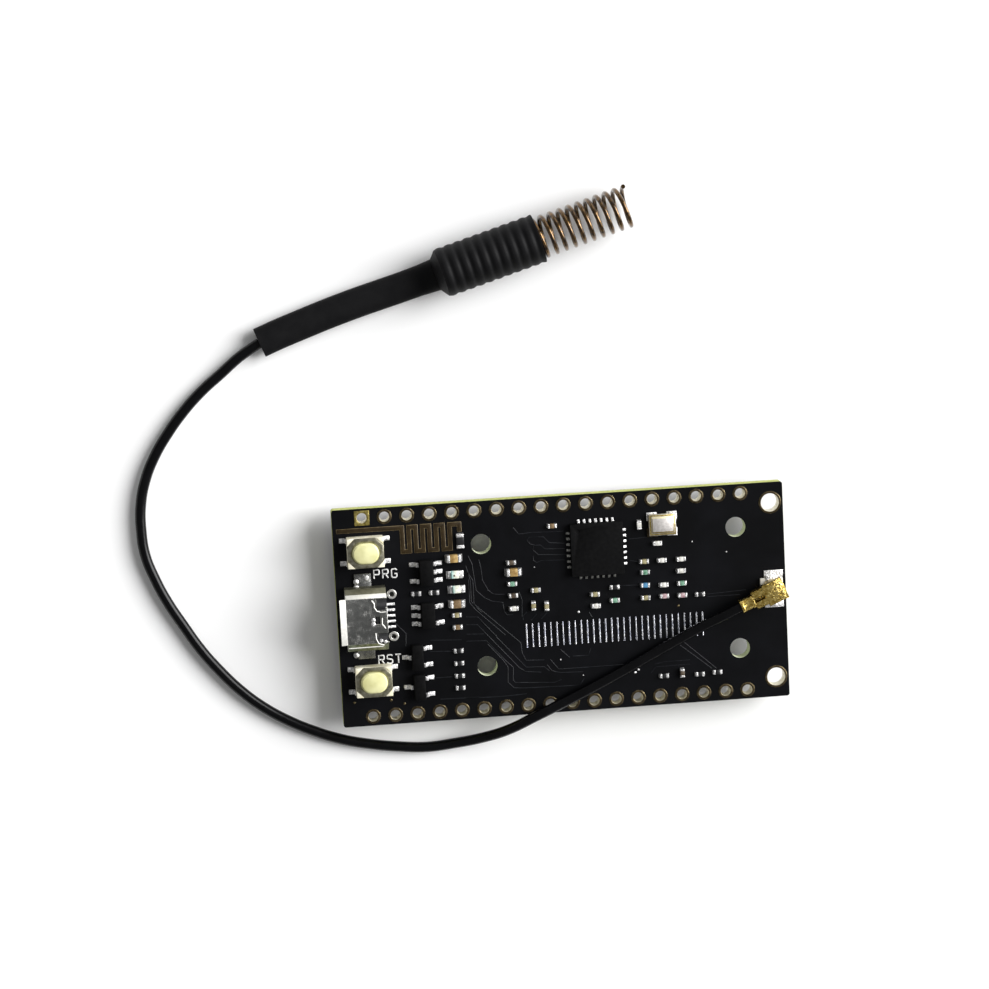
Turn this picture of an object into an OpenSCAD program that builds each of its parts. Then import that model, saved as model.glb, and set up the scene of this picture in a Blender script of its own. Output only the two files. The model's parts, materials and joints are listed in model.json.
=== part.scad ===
// Radio development board with a clipped-on coil aerial.
// The board lies flat on the parts under it, and the aerial lies beside it on its lead.
// X runs along the board towards the aerial socket, Y towards the printed aerial, Z up.
// The origin is the centre of the board's footprint, on the table. All sizes are in millimetres.

/* [Board] */
// Length of the circuit board
board_l = 51.5; // [51:0.25:54]
// Width of the circuit board
board_w = 25; // [24.8:0.1:27]
// Thickness of the laminate
board_t = 1.6; // [1:0.1:2]
// Gap between the table and the board, filled by the tallest parts under it
rest_h = 2; // [1.9:0.1:2.6]
// Radius of the board's corners
corner_r = 0.3; // [0.1:0.1:1]

/* [Header holes] */
// Spacing of the header holes along a row
pitch = 2.54; // [2.5:0.01:2.56]
// Bare length that the header rows leave at the board's two ends together
row_bare = 8.3; // [7.2:0.1:9.4]
// Distance of a header row from the board's long edge
row_edge = 1.07; // [1:0.01:1.3]
// Inner diameter of a plated header hole
hole_d = 1.15; // [0.9:0.05:1.2]
// Diameter of the ring of copper round a header hole
ring_d = 1.7; // [1.5:0.05:1.8]
// Height of the copper and solder that stand on the board's faces
copper_t = 0.05; // [0.03:0.01:0.08]
// Wall of the plating that lines a hole
plating = 0.05; // [0.03:0.01:0.1]
// Gap between the plating and the drilled laminate
plating_gap = 0.02; // [0.01:0.01:0.04]

/* [Fixing holes] */
// Distance of the fixing holes from the board's right edge
fixing_edge = 1.5; // [1.4:0.05:1.6]
// Distance of the fixing holes from the board's long edges
fixing_side = 2.35; // [2.2:0.05:2.5]
// Inner diameter of a plated fixing hole
fixing_d = 2.1; // [1.8:0.05:2.2]
// Diameter of the ring of copper round a fixing hole
fixing_ring_d = 2.6; // [2.5:0.05:2.7]
// Diameter of the plain holes for the display's pegs
peg_d = 2.3; // [1.8:0.05:2.6]
// Distance between the peg holes along the board
peg_gap_x = 29.2; // [28.8:0.1:29.6]
// Distance between the peg holes across the board
peg_gap_y = 14.1; // [13.8:0.1:14.4]

/* [Display contacts] */
// Number of soldering pads for the display's ribbon
comb_count = 30; // [20:1:30]
// Spacing of the ribbon pads
comb_pitch = 0.7; // [0.6:0.02:0.72]
// Width of a ribbon pad
comb_w = 0.34; // [0.2:0.02:0.4]
// Length of a ribbon pad
comb_l = 2.95; // [2:0.05:3.2]

/* [Printed aerial] */
// Width of the aerial's copper strip
strip_w = 0.5; // [0.3:0.05:0.55]
// Spacing of the meander's strips
strip_pitch = 0.77; // [0.72:0.01:0.8]
// Length of the meander's long strips
strip_l = 2.75; // [2:0.05:3]
// Length of the strip that feeds the meander
feed_l = 7.4; // [6.8:0.1:7.4]

/* [USB socket] */
// Width of the shell at the board
usb_w = 7.1; // [6.9:0.05:7.3]
// Width of the flat top between the two slopes
usb_top_w = 5.2; // [4.8:0.05:5.6]
// Height of the shell
usb_h = 2.6; // [2.4:0.05:2.8]
// Depth of the shell from mouth to back
usb_l = 4.6; // [4.4:0.05:4.8]
// Thickness of the shell's sheet
sheet_t = 0.25; // [0.2:0.01:0.3]
// Place of the socket's middle across the board
usb_y = 0.1; // [-0.2:0.05:0.3]
// Distance of the mouth from the board's left edge
usb_inset = 0.95; // [0.9:0.05:1.1]
// Spacing of the socket's contacts
usb_pitch = 0.65; // [0.6:0.01:0.68]

/* [Push buttons] */
// Length of a switch body along the board
switch_l = 4.1; // [3.9:0.05:4.3]
// Width of a switch body
switch_w = 3.4; // [3.3:0.05:3.6]
// Height of a switch body with its metal cover
switch_h = 1.9; // [1.8:0.05:2.2]
// Thickness of the metal cover
cover_t = 0.2; // [0.15:0.01:0.25]
// Length of the oval plunger
plunger_l = 3; // [2.8:0.05:3.1]
// Width of the oval plunger
plunger_w = 2.3; // [2.1:0.05:2.4]
// Height of the plunger above the cover
plunger_up = 0.6; // [0.4:0.05:0.8]
// Distance that a button travels
travel = 0.25; // [0.15:0.05:0.25]
// Gap round a plunger
plunger_gap = 0.08; // [0.05:0.01:0.1]
// Distance of the switches from the board's left edge
switch_edge = 3.55; // [3.5:0.05:3.8]

/* [Chips] */
// Side of the radio chip
radio_w = 6; // [5.6:0.1:6.2]
// Height of the radio chip
radio_h = 0.85; // [0.7:0.05:1]
// Side of the processor under the board
processor_w = 6; // [5.6:0.1:6.4]
// Side of the serial chip under the board
serial_w = 5; // [4.6:0.1:5.2]
// Height of the flat chips under the board
flat_chip_h = 0.9; // [0.8:0.05:1]
// Side of the memory chip's body
flash_w = 5.3; // [5:0.1:5.6]
// Length of the radio's crystal
crystal_l = 3.1; // [2.9:0.05:3.3]
// Width of the radio's crystal
crystal_w = 2.45; // [2.2:0.05:2.6]
// Height of a crystal
crystal_h = 0.8; // [0.6:0.05:1]

/* [Small parts] */
// Height of the small capacitors
cap_h = 0.5; // [0.4:0.05:0.6]
// Height of the small resistors
res_h = 0.35; // [0.3:0.05:0.4]
// Height of the large capacitors
big_cap_h = 0.8; // [0.7:0.05:0.9]
// Height of the lamps
lamp_h = 0.6; // [0.5:0.05:0.8]
// Height of the five-leg and three-leg chips
sot_h = 1.05; // [0.9:0.05:1.2]

/* [Battery socket] */
// Width of the battery socket
battery_w = 5; // [4.8:0.1:5.4]
// Depth of the battery socket
battery_l = 4.3; // [4:0.1:4.6]
// Wall of the battery socket
battery_wall = 0.5; // [0.4:0.05:0.55]

/* [Aerial socket and plug] */
// Distance of the aerial socket's middle from the board's right edge
socket_edge = 1.7; // [1.65:0.05:1.9]
// Side of the aerial socket's base
socket_w = 2.6; // [2.4:0.05:2.7]
// Outer diameter of the aerial socket's ring
socket_d = 2; // [1.9:0.02:2.1]
// Height of the aerial socket
socket_h = 1.25; // [1.15:0.05:1.3]
// Outer diameter of the plug's cup
plug_d = 2.5; // [2.45:0.05:2.7]
// Height of the plug's top above the board
plug_h = 2.2; // [2.15:0.05:2.4]
// Length of the plug's folded collar
collar_l = 1.35; // [1.2:0.05:1.5]
// Width of the plug's folded collar
collar_w = 2.1; // [1.9:0.05:2.3]

/* [Aerial] */
// Diameter of the coaxial lead
lead_d = 1.2; // [1.1:0.01:1.26]
// Diameter of the coil's wire
wire_d = 0.5; // [0.4:0.02:0.6]
// Outer diameter of the coil
coil_d = 4.95; // [4.7:0.05:5]
// Spacing of the coil's turns
coil_pitch = 1.1; // [0.95:0.05:1.2]
// Turns that stand out of the sleeve
bare_turns = 10; // [4:1:12]
// Outer diameter of the sleeve over the coil's turns
sleeve_d = 5.6; // [5.5:0.05:5.8]
// Depth of the grooves between the sleeve's ribs
groove = 0.12; // [0.06:0.01:0.15]
// Ribs on the sleeve
ribs = 11; // [6:1:12]
// Width of the sleeve's flat tail
tail_w = 3.4; // [3:0.1:3.8]
// Thickness of the sleeve's flat tail
tail_t = 1.9; // [1.6:0.05:2.2]

/* [Hidden] */
$fn = 48;

top_z = rest_h + board_t;
left = -board_l / 2;
right = board_l / 2;
along = board_l / 51.5;
across = board_w / 25;
header_x = -0.75 * along;
row_holes = round((board_l - row_bare) / pitch) + 1;
row_gap = board_w - 2 * row_edge;
fixing_gap = board_w - 2 * fixing_side;
barrel_d = hole_d + 2 * plating;
fixing_barrel_d = fixing_d + 2 * plating;
seat = 0.02;
left_part = -11;

// Place on a board of this size: parts left of left_part keep their distance from the left edge,
// and the others keep their share of the length. The turn goes with the place.
function laid(p) = [p.x < left_part ? p.x + left + 25.75 : p.x * along, p.y * across, p[2]];

function all_laid(places) = [for (p = places) laid(p)];

// Sizes of the small two-ended parts and of the small legged chips
small_l = 1;
small_w = 0.5;
small_cap = 0.25;
small_reach = 0.1;
big_l = 1.6;
big_w = 0.85;
big_cap = 0.35;
big_reach = 0.2;
sot_l = 2.9;

// The legged chips stand in a column behind the buttons. What the printed aerial and the header
// row leave free of it is shared out between them, from the aerial down.
feed_y = row_gap / 2 - 1.38;
column_top = feed_y - strip_l - strip_w / 2;
column_free = column_top + row_gap / 2 - ring_d / 2 - 4 * sot_l - small_w;

// Place in the column, under a share of its free length and a number of chips and small parts
function in_column(x, share, chips, smalls, w) = [
    x + left + 25.75,
    column_top - share * column_free - chips * sot_l - smalls * small_w - w / 2,
    0
];

peg_middle = laid([5.57, 0.53, 0]);
comb_middle = laid([5.78, -3.33, 0]);

// Places on the top face, as x, y and turn
radio_at = laid([4.1, 6.2, 0]);
crystal_at = laid([11.7, 8.5, 0]);
charger_at = in_column(-15.45, 0.145, 0, 0, sot_l);
regulator_at = in_column(-15.5, 0.416, 1, 1, sot_l);
transistor_places = [
    in_column(-16.95, 0.75, 2, 1, sot_l), in_column(-16.9, 0.85, 3, 1, sot_l)
];
rung_places = [for (x = [-16.7, -14.65]) in_column(x, 0.271, 1, 0, small_w)];
lamp_places = all_laid([[-12.2, 4.3, 0], [-12.1, 2.6, 0]]);
big_cap_places = all_laid([[-12.25, 6.2, 0], [-12.15, 0.95, 0], [-5.55, 4.15, 0]]);
big_resistor_places = all_laid([[-11.4, 8.1, 90]]);
cap_places = all_laid([
    [-12.25, -0.35, 0], [-12.2, -1.75, 0], [-5.75, 5.25, 0], [-5.7, 1.45, 0], [-5.7, -0.05, 0],
    [-0.9, 9.15, 0], [-3.1, 1.9, 0], [3.65, 0.95, 0], [3.7, -0.4, 0], [11.05, 6.35, 0],
    [9.45, 4.35, 0], [11.5, 4.35, 0], [13.7, 4.35, 0], [13.65, 3, 0], [11.6, 1.5, 0],
    [9.45, 0.15, 0], [-3.45, 0.1, 90], [-1.95, -0.05, 90], [9.05, 8.6, 90], [13.3, -8.9, 90]
]);
inductor_places = all_laid([
    [-5.75, 2.8, 0], [5.9, 0.1, 0], [9.5, 3.1, 0], [9.45, 1.6, 0],
    [13.7, 1.55, 0], [11.6, 0.2, 0], [13.7, 0.15, 0]
]);
resistor_places = concat(rung_places, all_laid([
    [-12.25, -4.5, 0], [-12.25, -5.95, 0], [-12.25, -7.4, 0],
    [-12.25, -8.8, 0], [5.95, 1.6, 0], [15.75, 0.1, 0],
    [11.2, -9.1, 0], [15.35, -9.2, 0], [17.4, -9.1, 0]
]));

// Places on the underside, as x, y and turn
processor_at = laid([0.5, 3.5, 0]);
serial_at = laid([-8.5, 0.3, 0]);
memory_at = laid([10.5, 0, 0]);
processor_crystal_at = laid([-1, -5, 0]);
battery_at = laid([-21.15, -6.6, 0]);
bulk_at = laid([-14, 6.2, 0]);
lower_places = all_laid([
    [-4, 1.5, 90], [-4, 3.5, 90], [-4, 5.5, 90], [5, 1.5, 90], [5, 3.5, 90], [5, 5.5, 90],
    [-13.3, -4, 0], [-13.3, -2.5, 0], [2.5, -4.2, 0], [2.5, -5.8, 0], [17.5, 2, 90], [17.5, -2, 90]
]);

// Places of the aerial socket and its plug
socket_at = [right - socket_edge, 0.15 * across];
lead_turn = 202.5;
lead_z = 1.5;
plate_wide = 2.55;
plate_far = 1.25;
plate_near = 1.15;
collar_from = 1.2;
collar_to = collar_from + collar_l;
ferrule_to = collar_to + 1.65;
ferrule_d = 1.5;

// Middle line of the lead, from the plug's collar to the sleeve
function at_plug(reach) = [
    socket_at.x + reach * cos(lead_turn),
    socket_at.y + reach * sin(lead_turn),
    top_z + lead_z
];

// Height over the board of the lead's middle line, where it crosses the board
lead_over = [
    [18.05, -2.4, 1.4], [15.9, -3.35, 1.2], [13.2, -4.7, 0.9], [10.8, -5.9, 0.7], [8.4, -7.1, 0.65],
    [5.5, -8.5, 0.65], [2.5, -9.9, 0.65], [-0.7, -11.3, 0.65], [-3.9, -12.65, 0.7]
];
lead_down = [
    [-7, -14.3, 2.9], [-10, -15.35, 1.5], [-13, -15.9, 0.75], [-16.2, -16.15, 0.61],
    [-19.5, -15.85, 0.61], [-22.8, -15.3, 0.61], [-26, -14.5, 0.61], [-29, -13.35, 0.61],
    [-31.9, -11.9, 0.61], [-34.6, -10.15, 0.61], [-37.1, -8, 0.61], [-39.4, -5.45, 0.61],
    [-41.4, -2.8, 0.61], [-43.1, 0, 0.61], [-44.7, 2.8, 0.61], [-45.95, 5.6, 0.61],
    [-46.85, 8.4, 0.61], [-47.1, 11.3, 0.61], [-46.95, 14.1, 0.61], [-46.25, 16.9, 0.61],
    [-45.05, 19.5, 0.61], [-43.4, 22, 0.61], [-41.5, 24.35, 0.61], [-39.35, 26.5, 0.61],
    [-37, 28.4, 0.64], [-34.9, 30.1, 0.75]
];

// Route on a board of this size, with its heights raised by a lift
function spread(route, lift = 0) = [for (p = route) [p.x * along, p.y * across, p.z + lift]];

lead_route = concat(spread(lead_over, top_z), spread(lead_down));

// Middle line of the sleeve's flat tail, from the lead to the ribs, as x, y, z
tail_route = spread([
    [-32.5, 31.6, 0.95], [-30.2, 32.5, 0.95], [-27.8, 33.35, 0.95], [-25.5, 34.15, 0.95],
    [-23.2, 34.9, 0.95], [-20.9, 35.6, 0.95], [-18.6, 36.25, 0.95], [-16.3, 36.9, 0.95],
    [-14.3, 37.5, 1], [-12.35, 38.1, 1.25]
]);
sleeve_from = [-11.8 * along, 38.33 * across, sleeve_d / 2];
coil_turn = 16.5;
rib_run = (ribs - 0.5) * coil_pitch;
recess = 0.4;
coil_gap = 0.05;

lead_sides = 8;
sleeve_sides = 28;
rib_steps = 4;
turn_steps = 18;
wire_sides = 8;

function unit(v) = v / norm(v);

// Direction of a route at one of its points
function heading(route, i) =
    unit(route[min(i + 1, len(route) - 1)] - route[max(i - 1, 0)]);

// Ring of points round a middle point, square to a direction, with its width level
function ring(middle, way, half_w, half_t, sides) =
    let (side = unit(cross([0, 0, 1], way)))
    let (up = cross(way, side))
    [for (k = [0:sides - 1])
        middle + half_w * cos(360 * k / sides) * side + half_t * sin(360 * k / sides) * up];

// Faces of a skin through equal rings, with both ends closed
function skin_faces(rings, sides) = concat(
    [[for (k = [0:sides - 1]) k]],
    [for (i = [0:rings - 2]) for (k = [0:sides - 1])
        let (next = (k + 1) % sides)
        [i * sides + next, i * sides + k, (i + 1) * sides + k, (i + 1) * sides + next]],
    [[for (k = [sides - 1:-1:0]) (rings - 1) * sides + k]]
);

module skin(rings) {
    sides = len(rings[0]);
    points = [for (r = rings) for (p = r) p];
    polyhedron(points = points, faces = skin_faces(len(rings), sides), convexity = 10);
}

module on_top(place, turn = 0) {
    translate([place.x, place.y, top_z])
        rotate([0, 0, turn])
            children();
}

module under_board(place, turn = 0) {
    translate([place.x, place.y, rest_h])
        rotate([0, 0, turn])
            mirror([0, 0, 1])
                children();
}

module centred_box(l, w, h, z = 0) {
    translate([-l / 2, -w / 2, z])
        cube([l, w, h]);
}

module oval(l, w) {
    union() {
        square([l - w, w], center = true);
        translate([(l - w) / 2, 0])
            circle(d = w);
        translate([-(l - w) / 2, 0])
            circle(d = w);
    }
}

// Body of a small part, between its two tinned ends
module small_body(l, w, h, cap) {
    centred_box(l - 2 * cap, w, h);
}

// Two tinned ends with their sloping solder, for a small part
module small_ends(l, w, h, cap, reach) {
    for (side = [0, 180])
        rotate([0, 0, side])
            translate([l / 2 - cap, w / 2, 0])
                rotate([90, 0, 0])
                    linear_extrude(height = w)
                        polygon([
                            [0, 0], [cap + reach, 0], [cap + reach, copper_t],
                            [cap + reach / 3, h * 0.45], [cap, h], [0, h]
                        ]);
}

// Bent leg of a chip, from the side of its body down to its foot, and the solder at its toe
module gull_leg(reach, rise, foot, w, t, toe) {
    translate([0, w / 2, 0])
        rotate([90, 0, 0])
            linear_extrude(height = w)
                polygon([
                    [0, rise + t / 2], [0, rise - t / 2], [reach - foot - t, rise - t / 2],
                    [reach - foot - t / 2, 0], [reach + toe, 0], [reach + toe, copper_t],
                    [reach + toe / 3, t], [reach - foot + t / 2, t], [reach - foot, rise + t / 2]
                ]);
}

// Moulded chip body whose sides slope in above its legs
module chip_body(l, w, low, high) {
    slope = 0.08;
    mid = (low + high) / 2;
    rotate([90, 0, 0])
        translate([0, 0, -w / 2])
            linear_extrude(height = w)
                polygon([
                    [-l / 2 + slope, low], [l / 2 - slope, low], [l / 2, mid],
                    [l / 2 - slope, high], [-l / 2 + slope, high], [-l / 2, mid]
                ]);
}

// Rows of soldered lands along the four sides of a flat chip, sloping down away from it
module side_lands(w, count, land_pitch, land_w, land_out, land_h) {
    for (turn = [0:90:270])
        rotate([0, 0, turn])
            for (i = [0:count - 1])
                translate([w / 2, (i - (count - 1) / 2) * land_pitch + land_w / 2, 0])
                    rotate([90, 0, 0])
                        linear_extrude(height = land_w)
                            polygon([[0, 0], [land_out, 0], [land_out, copper_t], [0.05, land_h], [0, land_h]]);
}

function header_place(i, row) = [header_x + (i - (row_holes - 1) / 2) * pitch, row * row_gap / 2];

fixing_places = [for (side = [-1, 1]) [right - fixing_edge, side * fixing_gap / 2]];
peg_places = [for (sx = [-1, 1]) for (sy = [-1, 1])
    [peg_middle.x + sx * peg_gap_x / 2, peg_middle.y + sy * peg_gap_y / 2]];

usb_mouth = left + usb_inset;
usb_back = usb_mouth + usb_l;
usb_anchor_d = 0.6;
usb_anchor_ring_d = 1.1;
usb_anchor_gap = 4.85;
usb_anchor_x = usb_back + 0.75;
usb_anchor_places = [for (side = [-1, 1]) [usb_anchor_x, usb_y + side * usb_anchor_gap / 2]];

module board_outline() {
    union() {
        square([board_l - 2 * corner_r, board_w], center = true);
        square([board_l, board_w - 2 * corner_r], center = true);
        for (sx = [-1, 1])
            for (sy = [-1, 1])
                translate([sx * (board_l / 2 - corner_r), sy * (board_w / 2 - corner_r)])
                    circle(r = corner_r);
    }
}

module board() {
    color("#16181a")
        translate([0, 0, rest_h])
            difference() {
                linear_extrude(height = board_t)
                    board_outline();
                for (row = [-1, 1])
                    for (i = [0:row_holes - 1])
                        drill(header_place(i, row), barrel_d + 2 * plating_gap);
                for (place = fixing_places)
                    drill(place, fixing_barrel_d + 2 * plating_gap);
                for (place = peg_places)
                    drill(place, peg_d);
                for (place = usb_anchor_places)
                    drill(place, usb_anchor_d + 2 * plating + 2 * plating_gap);
            }
}

module drill(place, d) {
    translate([place.x, place.y, -1])
        cylinder(d = d, h = board_t + 2);
}

// Plated lining of a hole, with a ring on each face of the board
module eyelet(bore, ring_out) {
    half = bore / 2;
    wall = half + plating;
    rotate_extrude()
        polygon([
            [half, -copper_t], [ring_out / 2, -copper_t], [ring_out / 2, 0], [wall, 0],
            [wall, board_t], [ring_out / 2, board_t], [ring_out / 2, board_t + copper_t],
            [half, board_t + copper_t]
        ]);
}

module header_eyelets() {
    color("#d8c07a") {
        for (row = [-1, 1])
            for (i = [0:row_holes - 1])
                if (row == -1 || i > 0)
                    translate(concat(header_place(i, row), rest_h))
                        eyelet(hole_d, ring_d);
        translate(concat(header_place(0, 1), rest_h))
            first_pin_eyelet();
    }
}

// Lining of the first hole, whose land is square
module first_pin_eyelet() {
    difference() {
        union() {
            cylinder(d = barrel_d, h = board_t);
            centred_box(ring_d, ring_d, copper_t, -copper_t);
            centred_box(ring_d, ring_d, copper_t, board_t);
        }
        translate([0, 0, -1])
            cylinder(d = hole_d, h = board_t + 2);
    }
}

// Linings of the two fixing holes, and of the two small holes behind the USB socket
module fixing_eyelets() {
    color("#d8c07a") {
        for (place = fixing_places)
            translate(concat(place, rest_h))
                eyelet(fixing_d, fixing_ring_d);
        for (place = usb_anchor_places)
            translate(concat(place, rest_h))
                eyelet(usb_anchor_d, usb_anchor_ring_d);
    }
}

module display_pads() {
    color("silver")
        on_top(comb_middle)
            for (i = [0:comb_count - 1])
                translate([(i - (comb_count - 1) / 2) * comb_pitch, 0, 0])
                    centred_box(comb_w, comb_l, copper_t);
}

meander_strips = 8;
tip_step = 1.1;
tip_drop = 0.9;

// Copper strip folded into a meander, with its feed along the board's edge
module printed_aerial() {
    first = left + 0.45 + feed_l;
    low = feed_y - strip_l;
    last = first + (meander_strips - 1) * strip_pitch;
    color("#6b4a1e")
        translate([0, 0, top_z])
            linear_extrude(height = copper_t)
                union() {
                    translate([first - feed_l, feed_y - strip_w / 2])
                        square([feed_l + strip_w / 2, strip_w]);
                    for (i = [0:meander_strips - 1])
                        translate([first + i * strip_pitch - strip_w / 2, low - strip_w / 2])
                            square([strip_w, strip_l + strip_w]);
                    for (i = [0:meander_strips - 2])
                        translate([first + i * strip_pitch, (i % 2 == 0 ? low : feed_y) - strip_w / 2])
                            square([strip_pitch, strip_w]);
                    translate([last, feed_y - strip_w / 2])
                        square([tip_step + strip_w / 2, strip_w]);
                    translate([last + tip_step - strip_w / 2, feed_y - tip_drop])
                        square([strip_w, tip_drop]);
                }
}

// Outline of the shell across the mouth, drawn in by a wall
module usb_outline(wall) {
    side_h = usb_h * 0.62;
    cut = wall * 0.45;
    polygon([
        [-usb_w / 2 + wall, wall], [usb_w / 2 - wall, wall],
        [usb_w / 2 - wall, side_h - cut], [usb_top_w / 2 - cut, usb_h - wall],
        [-usb_top_w / 2 + cut, usb_h - wall], [-usb_w / 2 + wall, side_h - cut]
    ]);
}

// Runs an outline drawn across the board back from the mouth
module back_from_mouth(from, run) {
    translate([usb_mouth + from, usb_y, top_z])
        rotate([90, 0, 90])
            linear_extrude(height = run)
                children();
}

usb_notch_l = 1.2;
usb_notch_w = 1;
usb_notch_at = 1.95;
usb_window_l = 0.6;
usb_window_w = 0.9;
usb_tab_l = 1.9;
usb_tab_share = 0.62;
lip_l = 0.7;
lip_out = 0.22;

// Folded sheet shell with its flared mouth, rear cut-outs and the side tabs that are soldered down
module usb_shell() {
    color("#8d9094")
        union() {
            difference() {
                back_from_mouth(0, usb_l)
                    usb_outline(0);
                back_from_mouth(-1, usb_l + 2)
                    usb_outline(sheet_t);
                for (side = [-1, 1])
                    translate([usb_back - usb_notch_l, usb_y + side * usb_notch_at, top_z])
                        centred_corner(usb_notch_l + 1, usb_notch_w, usb_h + 1, usb_h / 2);
                translate([usb_back - usb_notch_l - 0.2, usb_y, top_z])
                    centred_corner(usb_window_l, usb_window_w, usb_h + 1, usb_h / 2);
            }
            translate([usb_mouth, usb_y - usb_top_w / 2, top_z + usb_h - sheet_t])
                rotate([0, -90, -90])
                    linear_extrude(height = usb_top_w)
                        polygon([[0, 0], [sheet_t, 0], [sheet_t + lip_out, -lip_l], [lip_out, -lip_l]]);
            side_tab(prg_at.y - switch_w / 2 - usb_y - usb_w / 2, 1);
            side_tab(usb_y - usb_w / 2 - rst_at.y - switch_w / 2, -1);
        }
}

// Tab that is soldered down at one side of the shell, in its share of the room to the switch
module side_tab(room, side) {
    out = room * usb_tab_share;
    translate([usb_mouth + 1.2, usb_y + side * usb_w / 2, top_z])
        translate([0, side > 0 ? -sheet_t / 2 : -out, 0])
            cube([usb_tab_l, out + sheet_t / 2, sheet_t]);
}

// Box that starts at its own x and is centred across it, between two heights
module centred_corner(l, w, high, low) {
    translate([0, -w / 2, low])
        cube([l, w, high - low]);
}

tongue_l = 3.5;
tongue_w = 3.5;
tongue_t = 0.6;
tongue_z = 1.3;

// Moulded block at the back of the shell, with the tongue that carries the contacts
module usb_tongue() {
    block_l = 1.2;
    block_w = usb_top_w - 0.4;
    color("#202124")
        translate([usb_back, usb_y, top_z])
            union() {
                translate([-block_l, -block_w / 2, sheet_t + seat])
                    cube([block_l, block_w, usb_h - 2 * sheet_t - 2 * seat]);
                translate([-tongue_l, -tongue_w / 2, tongue_z])
                    cube([tongue_l, tongue_w, tongue_t]);
            }
}

usb_tail_w = 0.3;
usb_tail_t = 0.12;
usb_tail_out = 1;

// Five contacts under the tongue, with their tinned tails on the board behind the shell
module usb_contacts() {
    run = tongue_l - 1.4;
    color("silver")
        translate([usb_back, usb_y, top_z])
            for (i = [-2:2])
                translate([0, i * usb_pitch - usb_tail_w / 2, 0]) {
                    translate([-tongue_l + 0.2, 0, tongue_z - usb_tail_t - seat])
                        cube([run, usb_tail_w, usb_tail_t]);
                    translate([seat, 0, 0])
                        cube([usb_tail_out, usb_tail_w, usb_tail_t]);
                    translate([seat, 0, 0])
                        cube([usb_tail_t, usb_tail_w, 0.7]);
                }
}

prg_at = [left + switch_edge, feed_y - 2.35];
rst_at = [left + switch_edge + 0.12, -7.1 * across];
post = 0.85;
floor_h = 0.45;
skirt_out = 0.2;
skirt_h = 0.4;
cover_gap = 0.03;
leg_gap = 2.6;
leg_w = 0.55;
leg_t = 0.15;
leg_out = 0.8;
chamfer = post * 0.75;

// Square with its corners cut off, as the metal cover is
module cut_square(l, w, cut) {
    polygon([
        [-l / 2 + cut, -w / 2], [l / 2 - cut, -w / 2], [l / 2, -w / 2 + cut], [l / 2, w / 2 - cut],
        [l / 2 - cut, w / 2], [-l / 2 + cut, w / 2], [-l / 2, w / 2 - cut], [-l / 2, -w / 2 + cut]
    ]);
}

// Moulded case of a switch, with the well that the plunger moves in and a post at each corner
module switch_base(place) {
    well_l = plunger_l + 2 * skirt_out + 2 * plunger_gap;
    well_w = plunger_w + 2 * skirt_out + 2 * plunger_gap;
    color("#f3ead0")
        on_top(place)
            difference() {
                centred_box(switch_l, switch_w, switch_h);
                translate([0, 0, switch_h - cover_t - seat])
                    linear_extrude(height = 1)
                        cut_square(switch_l + 0.02, switch_w + 0.02, post);
                translate([0, 0, floor_h])
                    linear_extrude(height = switch_h)
                        oval(well_l, well_w);
            }
}

// Metal cover that holds the plunger down
module switch_cover(place) {
    color("#9a9a94")
        on_top(place)
            translate([0, 0, switch_h - cover_t])
                linear_extrude(height = cover_t)
                    difference() {
                        cut_square(switch_l, switch_w, post + cover_gap);
                        oval(plunger_l + 2 * plunger_gap, plunger_w + 2 * plunger_gap);
                    }
}

// Four tinned legs, two at each end of the switch
module switch_terminals(place) {
    color("silver")
        on_top(place)
            for (sx = [-1, 1])
                for (sy = [-1, 1])
                    translate([sx * (switch_l / 2 + leg_out / 2 + seat / 2), sy * leg_gap / 2, 0]) {
                        centred_box(leg_out - seat, leg_w, leg_t);
                        translate([-sx * (leg_out - seat - leg_t) / 2, 0, 0])
                            centred_box(leg_t, leg_w, 0.8);
                    }
}

dome_r = 1.1;
dome_t = 0.08;

// Thin snap dome that pushes the plunger back up
module switch_dome(place) {
    rise = switch_h - cover_t - seat - skirt_h - floor_h - 2 * seat;
    color("#b8b8b0")
        on_top(place)
            translate([0, 0, floor_h + seat / 2])
                rotate_extrude()
                    polygon([
                        [0, rise], [0, rise - dome_t], [dome_r * 0.6, rise * 0.7 - dome_t],
                        [dome_r * 0.93, 0], [dome_r, 0], [dome_r * 0.65, rise * 0.7]
                    ]);
}

// Oval plunger with the skirt that stops under the cover
module switch_button(place) {
    low = switch_h - cover_t - seat - skirt_h;
    high = switch_h + plunger_up;
    round_off = 0.12;
    color("#e9e2a0")
        on_top(place)
            union() {
                translate([0, 0, low])
                    linear_extrude(height = skirt_h)
                        oval(plunger_l + 2 * skirt_out, plunger_w + 2 * skirt_out);
                translate([0, 0, low])
                    linear_extrude(height = high - low - round_off)
                        oval(plunger_l, plunger_w);
                translate([0, 0, low])
                    linear_extrude(height = high - low)
                        oval(plunger_l - 2 * round_off, plunger_w - 2 * round_off);
            }
}

module radio_chip() {
    color("#1d1d1f")
        on_top(radio_at)
            difference() {
                centred_box(radio_w, radio_w, radio_h - copper_t, copper_t);
                translate([-radio_w / 2 + 0.8, radio_w / 2 - 0.8, radio_h - 0.05])
                    cylinder(d = 0.5, h = 1);
            }
}

module radio_chip_pads() {
    color("silver")
        on_top(radio_at)
            union() {
                side_lands(radio_w + 2 * seat, 7, 0.65, 0.28, 0.42, 0.22);
                centred_box(4.2, 4.2, copper_t - 0.01);
            }
}

module crystal_base() {
    color("#c9a24a")
        on_top(crystal_at)
            union() {
                centred_box(crystal_l, crystal_w, crystal_h * 0.75);
                for (sx = [-1, 1])
                    for (sy = [-1, 1])
                        translate([sx * (crystal_l / 2 - 0.4), sy * (crystal_w / 2 - 0.3), 0])
                            centred_box(1.2, 1, 0.15);
            }
}

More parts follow.
